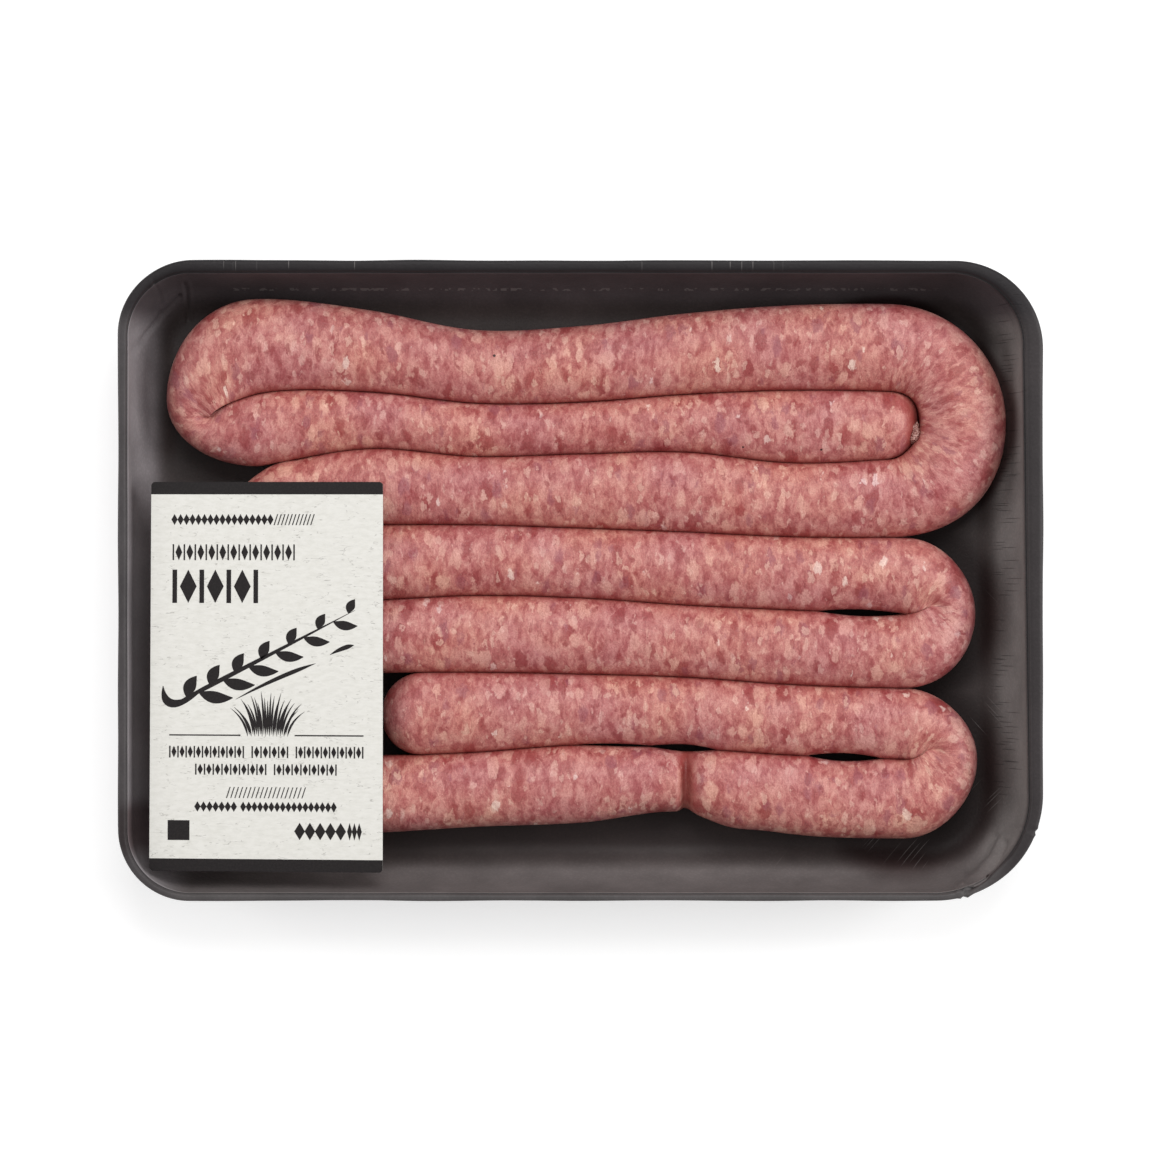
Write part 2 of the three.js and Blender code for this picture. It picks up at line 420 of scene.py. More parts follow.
@dataclass
class SeamChart:
    """Where the seams run: the y of each at equal steps of x, and the slits that open along them."""

    start_x: float = -120
    step_x: float = 30
    strand_gap: float = -0.02
    lines: dict[Seam, tuple[float, ...]] = field(
        default_factory=lambda: {
            Seam.BACK: (77, 80.2, 77, 71.4, 72.5, 76.1, 78.4, 78.7, 77),
            Seam.FIRST: (45, 53.4, 53.7, 50.5, 50.8, 53, 54.1, 53.7, 52),
            Seam.SECOND: (28, 32.9, 37.4, 35.2, 35.9, 36.4, 33.4, 34.5, 36),
            Seam.THIRD: (15, 15.4, 15.8, 15.8, 14.9, 13.8, 12.4, 12.2, 12),
            Seam.FOURTH: (-5.6, -5.6, -5.6, -4.3, -5, -7, -8.4, -9.5, -10),
            Seam.FIFTH: (-26.6, -26.6, -26.3, -26.1, -26.6, -27.5, -29.6, -30.6, -31),
            Seam.SIXTH: (-50.5, -50.3, -50, -48.8, -46.8, -47.7, -49.7, -50.8, -51.5),
            Seam.FRONT: (-71.5, -71.9, -71.9, -70.2, -69, -65.8, -72.2, -73.5, -73),
        }
    )
    slits: dict[Seam, tuple[Slit, ...]] = field(
        default_factory=lambda: {
            Seam.FOURTH: (Slit(80, 12.8, 1.9),),
            Seam.SIXTH: (Slit(11, 14, 0.7), Slit(29.5, 9.5, 2.0), Slit(75.2, 11, 2.3)),
        }
    )

    def y(self, seam: Seam, x: float) -> float:
        """The seam's y at x, on a smooth curve through its steps.

        Args:
            seam: The seam.
            x: Where it is looked up.

        Returns:
            The y.
        """
        values = self.lines[seam]
        place = clamp((x - self.start_x) / self.step_x, 0, len(values) - 1)
        index = min(int(place), len(values) - 2)
        t = place - index
        before, start, end = values[max(index - 1, 0)], values[index], values[index + 1]
        after = values[min(index + 2, len(values) - 1)]
        leave, arrive = (end - before) / 2, (after - start) / 2
        bend = 3 * (end - start) - 2 * leave - arrive
        return start + leave * t + bend * t**2 + (2 * (start - end) + leave + arrive) * t**3

    def half_gap(self, seam: Seam, x: float) -> float:
        """Half the space between the two strands along a seam, with its slits.

        Args:
            seam: The seam.
            x: Where it is looked up.

        Returns:
            Half the gap.
        """
        width = self.strand_gap
        for slit in self.slits.get(seam, ()):
            along = min(abs(x - slit.x) / slit.reach, 1)
            width += slit.width * math.cos(along * math.pi / 2)
        return width / 2


@dataclass
class Rib:
    """A line across the sausage, from its left side to its right side as seen along its way.

    Its two ends, its height and width as shares of the full ones, how far a crease has flattened
    each side, how firmly each side is pressed, and how much shade is painted on the meat, all from 0 to
    1.
    """

    left: Vector
    right: Vector
    height: float = 1.0
    scale: float = 1.0
    flat_left: float = 0.0
    flat_right: float = 0.0
    press_left: float = 0.0
    press_right: float = 0.0
    shade: float = 0.0

    @property
    def middle(self) -> Vector:
        """The point half way across."""
        return (self.left + self.right) / 2

    @property
    def width(self) -> float:
        """The full width that the casing has here, before an end narrows it."""
        return (self.left - self.right).length / self.scale

    def narrowed(self, left_share: float, right_share: float, tip: "Tip") -> "Rib":
        """The rib drawn in towards its middle on both sides, as at a rounded end.

        Args:
            left_share: What is left of its left half.
            right_share: What is left of its right half.
            tip: The rounded end.

        Returns:
            The narrower rib.
        """
        middle = self.middle
        scale = (left_share + right_share) / 2
        pressed = soft_step(tip.pressed_from, 1, scale)
        return Rib(
            middle.lerp(self.left, left_share),
            middle.lerp(self.right, right_share),
            self.height * scale**tip.fall,
            scale,
            press_left=self.press_left * pressed,
            press_right=self.press_right * pressed,
            shade=tip.shade * soft_step(*tip.shaded, scale),
        )


@dataclass(frozen=True)
class Tip:
    """A rounded end of the casing.

    Its tip, how far back the rounding reaches, how blunt it is at the back and in front, how early
    its crown falls, and how much shade is painted on it. Then the shares of the full width at which it
    is pressed by its neighbours, and between which its painted shade comes in.
    """

    x: float
    length: float
    back_power: float
    front_power: float
    fall: float = 1.0
    shade: float = 0.0
    pressed_from: float = 0.85
    shaded: Span = (0.97, 0.8)

    def scales(self, x: float) -> tuple[float, float]:
        """The shares of the full half width that are left at x, at the back and in front.

        Args:
            x: Where they are looked up.

        Returns:
            The two shares.
        """
        left = 1 - min(abs(x - self.x) / self.length, 1)
        powers = (self.back_power, self.front_power)
        back, front = (max((1 - left**power) ** (1 / power), LEAST) for power in powers)
        return back, front


@dataclass(frozen=True)
class Run:
    """A straight stretch from one x to another, between two seams.

    Each bend says on which side the outer side of the turn at that end is: 1 at the back, -1 in front.
    """

    start: float
    end: float
    behind: Seam
    before: Seam
    tip: Tip | None = None
    twisted: bool = False
    bend_before: int = 0
    bend_after: int = 0


@dataclass(frozen=True)
class Fold:
    """A crease that leads a seam on into a tight turn: the seam, a point that it bends to, its end."""

    seam: Seam
    bend: Span
    end: Span

    def point(self, start: Vector, share: float) -> Vector:
        """The place along the crease, from its start at the seam."""
        first = start.lerp(Vector(self.bend), share)
        return first.lerp(Vector(self.bend).lerp(Vector(self.end), share), share)


@dataclass(frozen=True)
class Turn:
    """A bend: its middle, its inner and outer radius half way round, its angles and its seams.

    Fullness is the share by which its sides stand out from ellipses: the inner side at the back and in
    front, then the outer side at the back and in front.
    """

    x: float
    y: float
    inner: float
    outer: float
    start: float
    end: float
    back: Seam
    front: Seam
    inner_back: Seam | None = None
    inner_front: Seam | None = None
    fullness: tuple[float, float, float, float] = (0.0, 0.0, 0.0, 0.0)
    fold: Fold | None = None

    def outer_radius(self, angle: float, side_reach: float) -> float:
        """How far the outer side lies from the middle at an angle.

        Args:
            angle: The angle round the middle.
            side_reach: How far the outer side lies from the middle at the seam.

        Returns:
            The distance.
        """
        round_part = math.hypot(math.cos(angle) / self.outer, math.sin(angle) / side_reach)
        share = self.fullness[2 if math.sin(angle) > 0 else 3]
        return (1 + share * math.sin(2 * angle) ** 2) / round_part


@dataclass
class Twist:
    """The twist between the two links: a groove that is steep on its left and round on its right."""

    x: float = 29.8
    depth: float = 0.5
    notch: float = 1.3
    reach_left: float = 1.5
    reach_right: float = 2.6
    shoulder_x: float = 42
    shoulder_rise: float = 2.2
    shoulder_reach: float = 9

    def groove(self, x: float) -> float:
        """How deep the groove is at x, from 0 to 1."""
        reach = self.reach_left if x < self.x else self.reach_right
        return math.exp(-(((x - self.x) / reach) ** 2))

    def shoulder(self, x: float) -> float:
        """How far the second link swells towards the front at x."""
        return self.shoulder_rise * math.exp(-(((x - self.shoulder_x) / self.shoulder_reach) ** 2))


@dataclass
class Route:
    """The way of the sausage through the tray, as a row of ribs.

    Steps along runs are in millimetres and those round turns in degrees. An opening of open_width
    frees a side from its neighbour. The fold values say how fast the ribs move out along a crease,
    and how soon the crease flattens out.
    """

    chart: SeamChart = field(default_factory=SeamChart)
    twist: Twist = field(default_factory=Twist)
    # The right tip gets full painted shade where its end drops towards the tray's wall.
    right_tip: Tip = Tip(96.2, 11, 3.7, 2.35, 2.0, 1.0)
    left_tip: Tip = Tip(-56.7, 11.6, 2.0, 2.0)
    run_step: float = 1.3
    twist_step: float = 0.45
    twist_reach: float = 6
    tip_rows: int = 14
    open_width: float = 0.6
    press_fade: float = 9
    turn_step: float = 5
    wide_turn_step: float = 2.8
    fold_pace: float = 1.4
    fold_flattening: float = 1.8

    def legs(self) -> list[Run | Turn]:
        """The runs and turns in order, from the right end of the casing to its left end.

        Returns:
            The legs.
        """
        s = Seam
        back_left = Fold(s.FIRST, (-102, 50.2), (-105.2, 46.2))
        middle_left = Fold(s.THIRD, (-84.5, 15.5), (-88, 14))
        middle_right = Fold(s.FOURTH, (95.5, -9.4), (99.5, -7.2))
        front_right = Fold(s.SIXTH, (95, -51.2), (98.5, -47.8))
        full_right, slim_left = (0.07, -0.03, 0, 0.03), (0, 0, -0.06, 0)
        slim_right, slim_front = (0, 0, -0.02, 0), (0, 0, -0.02, -0.02)
        return [
            Run(self.right_tip.x, -92, s.FIRST, s.SECOND, tip=self.right_tip, bend_after=-1),
            Turn(-92, 51.3, 0, 26, -90, -270, s.BACK, s.SECOND, fold=back_left),
            Run(-92, 87.3, s.BACK, s.FIRST, bend_before=1, bend_after=1),
            Turn(87.3, 44.7, 9.1, 33.9, 90, -90, s.BACK, s.THIRD, s.FIRST, s.SECOND, full_right),
            Run(87.3, -80.7, s.SECOND, s.THIRD, bend_before=-1, bend_after=1),
            Turn(-80.7, 15.3, 0, 21.3, 90, 270, s.SECOND, s.FOURTH, None, None, slim_left, middle_left),
            Run(-80.7, 92.4, s.THIRD, s.FOURTH, bend_before=-1, bend_after=1),
            Turn(92.4, -9.5, 0, 20.2, 90, -90, s.THIRD, s.FIFTH, None, None, slim_right, middle_right),
            Run(92.4, -81.3, s.FOURTH, s.FIFTH, bend_before=-1, bend_after=1),
            Turn(-81.3, -38.7, 11.7, 33.2, 90, 270, s.FOURTH, s.FRONT, s.FIFTH, s.SIXTH),
            Run(-81.3, 91.8, s.SIXTH, s.FRONT, twisted=True, bend_before=-1, bend_after=-1),
            Turn(91.8, -51, 0, 21.3, -90, 90, s.FIFTH, s.FRONT, None, None, slim_front, front_right),
            Run(91.8, self.left_tip.x, s.FIFTH, s.SIXTH, tip=self.left_tip, bend_before=1),
        ]

    def stations(self, run: Run) -> list[float]:
        """Places along a run: even steps, closer at a rounded end and at the twist.

        Args:
            run: The run.

        Returns:
            The x of each place, in the run's direction.
        """
        count = math.ceil(abs(run.end - run.start) / self.run_step)
        places = [mix(run.start, run.end, i / count) for i in range(count + 1)]
        if run.tip:
            inward = -1 if run.tip.x > 0 else 1
            places = [x for x in places if abs(x - run.tip.x) > run.tip.length]
            for i in range(self.tip_rows):
                share = 1 - math.cos((i + 0.5) / self.tip_rows * math.pi / 2)
                places.append(run.tip.x + inward * run.tip.length * share)
        if run.twisted:
            places = [x for x in places if abs(x - self.twist.x) > self.twist_reach]
            count = round(2 * self.twist_reach / self.twist_step)
            places += [self.twist.x + mix(-1, 1, i / count) * self.twist_reach for i in range(count + 1)]
        return sorted(places, reverse=run.end < run.start)

    def press(self, run: Run, x: float, seam: Seam, at_back: bool) -> float:
        """How firmly a side of a run is pressed against its neighbour, from 0 to 1.

        Args:
            run: The run.
            x: Where it is looked up.
            seam: The seam on that side.
            at_back: Whether it is the back one.

        Returns:
            The firmness.
        """
        if seam in (Seam.BACK, Seam.FRONT):
            return 0.0
        open_by = 2 * self.chart.half_gap(seam, x) - self.chart.strand_gap
        firm = soft_step(self.open_width, 0, open_by)
        for bend, place in ((run.bend_before, run.start), (run.bend_after, run.end)):
            if bend == (1 if at_back else -1):
                firm *= soft_step(0, self.press_fade, abs(x - place))
        return firm

    def run_rib(self, run: Run, x: float) -> Rib:
        """A rib square to a run at x.

        Args:
            run: The run.
            x: Where the rib is.

        Returns:
            The rib.
        """
        behind = Vector((x, self.chart.y(run.behind, x) - self.chart.half_gap(run.behind, x)))
        before = Vector((x, self.chart.y(run.before, x) + self.chart.half_gap(run.before, x)))
        height = 1.0
        if run.twisted:
            groove = self.twist.groove(x)
            before.y += self.twist.notch * groove - self.twist.shoulder(x)
            height -= self.twist.depth * groove
        at_back = self.press(run, x, run.behind, True)
        at_front = self.press(run, x, run.before, False)
        back_share, front_share = run.tip.scales(x) if run.tip else (1.0, 1.0)
        if run.end > run.start:
            rib, shares = Rib(behind, before, height), (back_share, front_share)
            rib.press_left, rib.press_right = at_back, at_front
        else:
            rib, shares = Rib(before, behind, height), (front_share, back_share)
            rib.press_left, rib.press_right = at_front, at_back
        return rib.narrowed(*shares, run.tip) if run.tip else rib

    def reach(self, turn: Turn, seam: Seam | None, plain: float, outside: bool) -> float:
        """How far a turn's inner or outer side lies from its middle where it meets a run.

        Args:
            turn: The turn.
            seam: The seam that the side meets, if any.
            plain: The distance where it meets none.
            outside: Whether it is the outer side.

        Returns:
            The distance.
        """
        if seam is None:
            return plain
        gap = self.chart.strand_gap / 2
        return abs(self.chart.y(seam, turn.x) - turn.y) + (-gap if outside else gap)

    def inner_point(self, turn: Turn, progress: float, ray: Vector, near: float) -> tuple[Vector, float]:
        """The inner end of a turn's rib.

        Args:
            turn: The turn.
            progress: How far round it is, from 0 to 1.
            ray: The direction from the turn's middle.
            near: The inner radius here.

        Returns:
            The point, and how far the crease there has flattened out, from 0 to 1.
        """
        if turn.fold is None:
            return Vector((turn.x, turn.y)) + ray * near, 0.0
        start = Vector((turn.x, self.chart.y(turn.fold.seam, turn.x)))
        share = 1 - abs(2 * progress - 1) ** self.fold_pace
        point, ahead = turn.fold.point(start, share), turn.fold.point(start, share + LEAST)
        way = (ahead - point).normalized()
        side = Vector((-way.y, way.x))
        side = side if side.dot(ray) > 0 else -side
        inner = point + side * self.chart.strand_gap / 2 * (1 - share)
        return inner, 1 - (1 - share) ** self.fold_flattening

    def turn_ribs(self, turn: Turn) -> Iterator[Rib]:
        """The ribs of a turn, between the runs on its two sides.

        Args:
            turn: The turn.

        Yields:
            The ribs, one after the other.
        """
        step = self.wide_turn_step if turn.inner_back else self.turn_step
        count = round(abs(turn.end - turn.start) / step)
        outer = {seam: self.reach(turn, seam, turn.outer, True) for seam in (turn.back, turn.front)}
        inner_back = self.reach(turn, turn.inner_back, turn.inner, False)
        inner_front = self.reach(turn, turn.inner_front, turn.inner, False)
        centre = Vector((turn.x, turn.y))
        for i in range(1, count):
            angle = math.radians(mix(turn.start, turn.end, i / count))
            weight, at_back = math.sin(angle) ** 2, math.sin(angle) > 0
            far = turn.outer_radius(angle, outer[turn.back if at_back else turn.front])
            near = mix(turn.inner, inner_back if at_back else inner_front, weight)
            near *= 1 + turn.fullness[0 if at_back else 1] * math.sin(2 * angle) ** 2
            ray = Vector((math.cos(angle), math.sin(angle)))
            inside, flat = self.inner_point(turn, i / count, ray, near)
            outside = centre + ray * far
            if turn.end > turn.start:
                yield Rib(inside, outside, flat_left=flat, press_left=1 - flat)
            else:
                yield Rib(outside, inside, flat_right=flat, press_right=1 - flat)

    def ribs(self) -> list[Rib]:
        """All ribs from the right end to the left end.

        Returns:
            The ribs.
        """
        rows: list[Rib] = []
        for leg in self.legs():
            if isinstance(leg, Turn):
                rows += self.turn_ribs(leg)
            else:
                rows += [self.run_rib(leg, x) for x in self.stations(leg)]
        return rows


@dataclass(frozen=True)
class Chunks:
    """One sort of piece in the mince.

    Its colour, the mean spacing of its pieces in millimetres, the share of places that hold one,
    the width of its faded edge in millimetres, how strongly it covers what lies under it, and its
    least and greatest radius as shares of the spacing.
    """

    colour: Colour
    spacing: float
    share: float
    edge: float
    cover: float
    least: float = 0.14
    most: float = 0.46

    def mask(self, g: Graph, place: object) -> Socket:
        """Where the pieces are, from 0 to their cover.

        Args:
            g: The graph of the material.
            place: The coordinates, in millimetres.

        Returns:
            The mask.
        """
        cells = g.cells(place, 1 / self.spacing)
        kind, size, _ = g.split(cells.outputs["Color"])
        radius = g.math("MULTIPLY_ADD", size, self.most - self.least, self.least)
        past = g.math("SUBTRACT", cells.outputs["Distance"], radius)
        half = self.edge / self.spacing / 2
        chosen = g.between(kind, 1 - self.share - PICK, 1 - self.share + PICK)
        return g.times(g.between(past, half, -half), chosen, self.cover)


@dataclass(frozen=True)
class MinceFinish:
    """Coarse minced meat seen through a thin moist casing, with painted shade laid into its creases."""

    deep: Colour = from_srgb(172, 94, 92)
    middle: Colour = from_srgb(195, 126, 119)
    light: Colour = from_srgb(212, 152, 141)
    pepper: Colour = from_srgb(52, 28, 26)
    # Painted shade: the deep red that the meat turns in creases, in the twist groove and at the right
    # tip.
    painted_crease_shade: Colour = from_srgb(146, 60, 54)
    sorts: tuple[Chunks, ...] = (
        Chunks(from_srgb(154, 64, 64), 8.0, 0.5, 1.7, 0.72),
        Chunks(from_srgb(160, 92, 100), 6.4, 0.36, 1.4, 0.64),
        Chunks(from_srgb(226, 174, 158), 7.0, 0.56, 1.2, 0.68),
        Chunks(from_srgb(150, 62, 62), 3.4, 0.3, 0.8, 0.56),
        Chunks(from_srgb(230, 186, 170), 3.6, 0.38, 0.7, 0.58),
        Chunks(from_srgb(246, 222, 210), 6.4, 0.1, 0.8, 0.7, 0.08, 0.3),
    )
    tint_cold: Colour = from_srgb(240, 226, 236)
    tint_warm: Colour = from_srgb(253, 246, 239)
    streaks: Stops = ((0.3, (0.76, 0.68, 0.68)), (0.5, (1, 1, 1)), (0.7, (1.14, 1.24, 1.24)))
    specks: Stops = ((0.3, (0.82, 0.76, 0.76)), (0.5, (1, 1, 1)), (0.7, (1.1, 1.15, 1.15)))
    tone_share: float = 0.9
    crease_shade_cover: float = 0.8
    pepper_scale: float = 0.07
    pepper_radius: Span = (0.034, 0.024)
    roughness: float = 0.4
    specular: float = 0.4
    stretch: float = 1.7

    def shift(self, g: Graph, place: object, scale: float, reach: float) -> Socket:
        """A wandering offset up to about half of reach, in millimetres."""
        wander = g.vector("SUBTRACT", g.noise(place, scale, 1.5, output="Color"), (0.5, 0.5, 0.5))
        return g.scaled(wander, (reach, reach, reach))

    def dots(self, g: Graph, flow: object) -> Socket:
        """A few specks of pepper.

        Args:
            g: The graph of the material.
            flow: The coordinates along the strand.

        Returns:
            A mask, 0 to 1.
        """
        dots = g.cells(flow, self.pepper_scale)
        kind = g.between(g.split(dots.outputs["Color"])[0], 0.5, 0.5 + PICK)
        return g.times(g.between(dots.outputs["Distance"], *self.pepper_radius), kind)

    def material(self) -> bpy.types.Material:
        """Builds the material on the attribute that follows the strand.

        Returns:
            The material.
        """
        g = Graph("minced_meat")
        flow = g.place("flow")
        long = g.scaled(flow, (self.stretch, 1, 1))
        bent = g.vector("ADD", long, self.shift(g, long, 0.3, 4.0))
        ragged = g.vector("ADD", bent, self.shift(g, long, 1.1, 2.0))

        body = g.noise(bent, 0.24, 4, 0.6)
        colour = g.ramp(body, ((0.36, self.deep), (0.5, self.middle), (0.64, self.light)))
        for index, sort in enumerate(self.sorts):
            moved = g.vector("ADD", ragged, (17.0 * index, 31.0 * index, 0))
            colour = g.blend("MIX", sort.mask(g, moved), colour, sort.colour)

        region = g.noise(flow, 0.05, 2)
        tints = ((0.35, self.tint_cold), (0.65, self.tint_warm))
        streaks = g.noise(g.scaled(ragged, (1.8, 0.5, 0.5)), 0.9, 3, 0.7)
        grain = g.noise(flow, 2.5, 2, 0.7)
        for value, stops in ((region, tints), (streaks, self.streaks), (grain, self.specks)):
            colour = g.shaded(colour, self.tone_share, value, stops)
        # Painted shade, deep red, where strands press together, in folds, in the twist groove and at the
        # right tip.
        painted_crease_shade = g.times(g.level("crease"), self.crease_shade_cover)
        colour = g.blend("MIX", painted_crease_shade, colour, self.painted_crease_shade)
        colour = g.blend("MIX", self.dots(g, flow), colour, self.pepper)
        wrinkles = g.noise(g.scaled(flow, (1.6, 1, 1)), 0.9, 3, 0.65)
        return g.finished(colour, self.roughness, self.specular, g.bump(wrinkles, 0.5, 0.5))


@dataclass(frozen=True)
class CasingFinish:
    """The bare casing where it is gathered at an end: its folds' colours, with painted shade in their
    hollows and a painted highlight on their crests, and its shine.
    """

    hollow_shade: Colour = from_srgb(112, 58, 54)
    skin: Colour = from_srgb(182, 132, 122)
    crest_highlight: Colour = from_srgb(220, 188, 176)
    roughness: float = 0.3

    def material(self) -> bpy.types.Material:
        """Builds the pale, wrinkled and shiny skin, with painted shade in its fold hollows and a painted
        highlight on its crests.

        Returns:
            The material.
        """
        g = Graph("gathered_casing")
        folds = g.noise(g.scaled(g.place(), (2.4, 2.4, 0.6)), 1.1, 3)
        # Painted shade in the fold hollows and painted highlight on the crests, following the bump.
        colour = g.ramp(folds, ((0.35, self.hollow_shade), (0.52, self.skin), (0.7, self.crest_highlight)))
        return g.finished(colour, self.roughness, normal=g.bump(folds, 0.5, 0.8))


@dataclass
class SausageString:
    """The whole sausage: one casing with a twist in it, from its right end to its left end.

    The section is an ellipse of the plain width and height, fuller below than above. A pressed side
    bulges by a share of the half width, and a crease is lifted by a share of the crown. Shading
    starts at shares of the half width. Lumps fade in between two sines of the section's angle. The
    nub is a ball of three radii with swellings, each of a depth and a scale.
    """

    route: Route = field(default_factory=Route)
    plain_width: float = 21
    plain_height: float = 19.5
    crown_share: float = 0.5
    side_fullness: float = 0.95
    fold_lift: float = 0.88
    bulge: float = 0.045
    bottom_fullness: float = 0.7
    rest_z: float = 3.9
    columns: int = 56
    width_power: float = 0.25
    flat_from: float = 0.25
    press_shade_from: float = 0.8
    fold_shade: float = 0.7
    fold_shade_from: float = 0.85
    lump_depth: float = 0.22
    lump_size: float = 9
    fine_lump_size: float = 3.1
    fine_lump_share: float = 0.4
    lump_zone: Span = (0.1, 0.7)
    nub_place: Triple = (95.1, 41.6, 16.6)
    nub_reach: Triple = (1.5, 2.9, 2.6)
    nub_swellings: tuple[Span, ...] = ((0.35, 1.3), (0.22, 3.4))

    def casing_height(self, rib: Rib) -> float:
        """A wide stretch stands a little higher than a narrow one."""
        return self.plain_height * (rib.width / self.plain_width) ** self.width_power

    def section(self, rib: Rib, angle: float) -> tuple[Vector, float]:
        """A point of the cross-section at a rib.

        Args:
            rib: Where the section is.
            angle: 0 is the right side, and a quarter turn is the crown.

        Returns:
            The point, and how far it lies to the right of the middle.
        """
        across = signed_power(math.cos(angle), self.side_fullness)
        spread_left, spread_right = 1 + self.bulge * rib.press_left, 1 + self.bulge * rib.press_right
        across = clamp(across, -1 / spread_left, 1 / spread_right)
        across *= spread_left if across < 0 else spread_right
        rise = math.sin(angle)
        height = self.casing_height(rib)
        share = self.crown_share if rise > 0 else 1 - self.crown_share
        fullness = self.side_fullness if rise > 0 else self.bottom_fullness
        flat = rib.middle.lerp(rib.right, across)
        lift = signed_power(rise, fullness) * share * height * rib.height
        flattened = rib.flat_left * soft_step(self.flat_from, 1, -across)
        flattened += rib.flat_right * soft_step(self.flat_from, 1, across)
        lift = mix(lift, self.fold_lift * self.crown_share * height, flattened)
        z = self.rest_z + (1 - self.crown_share) * height + lift
        return Vector((flat.x, flat.y, z)), across * rib.width * rib.scale / 2

    def crease(self, rib: Rib, angle: float) -> float:
        """How much painted shade the meat gets at a point, from 0 to 1: by a pressed side, in a fold,
        in the twist and at a shaded tip.

        Args:
            rib: Where the section is.
            angle: Where on it the point lies.

        Returns:
            The share of painted shade.
        """
        across = math.cos(angle)
        firm = rib.press_left if across < 0 else rib.press_right
        beside = firm * soft_step(self.press_shade_from, 1.0, abs(across))
        flat = rib.flat_left if across < 0 else rib.flat_right
        folded = self.fold_shade * flat * (1 - flat) * soft_step(self.fold_shade_from, 1.0, abs(across))
        twisted = clamp((1 - rib.height) / self.route.twist.depth) if rib.scale == 1 else 0.0
        return clamp(beside + folded + twisted + rib.shade)

    def lump(self, flow: Vector, angle: float) -> float:
        """Small swellings of the filling, none where strands touch or where they rest.

        Args:
            flow: The coordinates along the strand.
            angle: Where on the section it is.

        Returns:
            How far the skin stands out, in millimetres.
        """
        free = soft_step(*self.lump_zone, math.sin(angle))
        fine = self.fine_lump_share * noise.noise(flow / self.fine_lump_size)
        return self.lump_depth * free * (noise.noise(flow / self.lump_size) + fine)

    def mesh(self) -> Piece:
        """Rolls a flat grid into the casing, row by row along the ribs.

        Returns:
            The piece.
        """
        ribs = self.route.ribs()
        bm = bmesh.new()
        bmesh.ops.create_grid(bm, x_segments=len(ribs) - 1, y_segments=self.columns, size=0.5)
        travelled = [0.0]
        for previous, rib in zip(ribs, ribs[1:]):
            travelled.append(travelled[-1] + (rib.middle - previous.middle).length)
        layer = bm.verts.layers.float_vector.new("flow")
        # The crease attribute carries the weight of painted shade in the meat's colour.
        shade = bm.verts.layers.float.new("crease")
        border = [v for v in bm.verts if abs(v.co.y) > 0.5 - 0.5 / self.columns]
        for vert in bm.verts:
            row = round((vert.co.x + 0.5) * (len(ribs) - 1))
            angle = (vert.co.y + 0.5) * 2 * math.pi - math.pi / 2
            point, aside = self.section(ribs[row], angle)
            flow = Vector((travelled[row], aside, point.z))
            vert[layer] = flow * MM
            vert[shade] = self.crease(ribs[row], angle)
            centre = Vector((*ribs[row].middle, self.rest_z + self.casing_height(ribs[row]) / 2))
            point += (point - centre).normalized() * self.lump(flow, angle)
            vert.co = point * MM
        bmesh.ops.remove_doubles(bm, verts=border, dist=WELD)
        bmesh.ops.holes_fill(bm, edges=[e for e in bm.edges if e.is_boundary], sides=self.columns + 2)
        bmesh.ops.recalc_face_normals(bm, faces=bm.faces)
        return finished_piece("sausage", bm, MinceFinish().material(), "sausage_string")

    def nub(self) -> Piece:
        """The bit of gathered casing on the right end.

        Returns:
            The piece.
        """
        bm = bmesh.new()
        bmesh.ops.create_icosphere(bm, subdivisions=5, radius=1)
        for vert in bm.verts:
            swell = 1 + sum(depth * noise.noise(vert.co * scale) for depth, scale in self.nub_swellings)
            place = (c + v * r * swell for c, v, r in zip(self.nub_place, vert.co, self.nub_reach))
            vert.co = Vector(place) * MM
        return finished_piece("casing_nub", bm, CasingFinish().material())

    def build(self) -> list[Piece]:
        """Makes the pieces of the sausage."""
        return [self.mesh(), self.nub()]


@dataclass(frozen=True)
class Hairs:
    """Short straight hair lines along the x axis.

    How long the longest are and how wide the widest, in millimetres, the share of places that hold
    one, and how strongly they show.
    """

    length: float
    width: float
    share: float
    cover: float

    def mask(self, g: Graph, place: object) -> Socket:
        """Where the lines are, from 0 to 1.

        Args:
            g: The graph of the material.
            place: The coordinates, in millimetres.

        Returns:
            The mask.
        """
        cells = g.cells(g.scaled(place, (0.4 / self.length, 0.4 / self.width, 0)), 1.0)
        cells.voronoi_dimensions = "2D"
        kind = g.split(cells.outputs["Color"])[0]
        chosen = g.between(kind, 1 - self.share - PICK, 1 - self.share + PICK)
        return g.times(g.between(cells.outputs["Distance"], 0.2, 0.08), chosen)


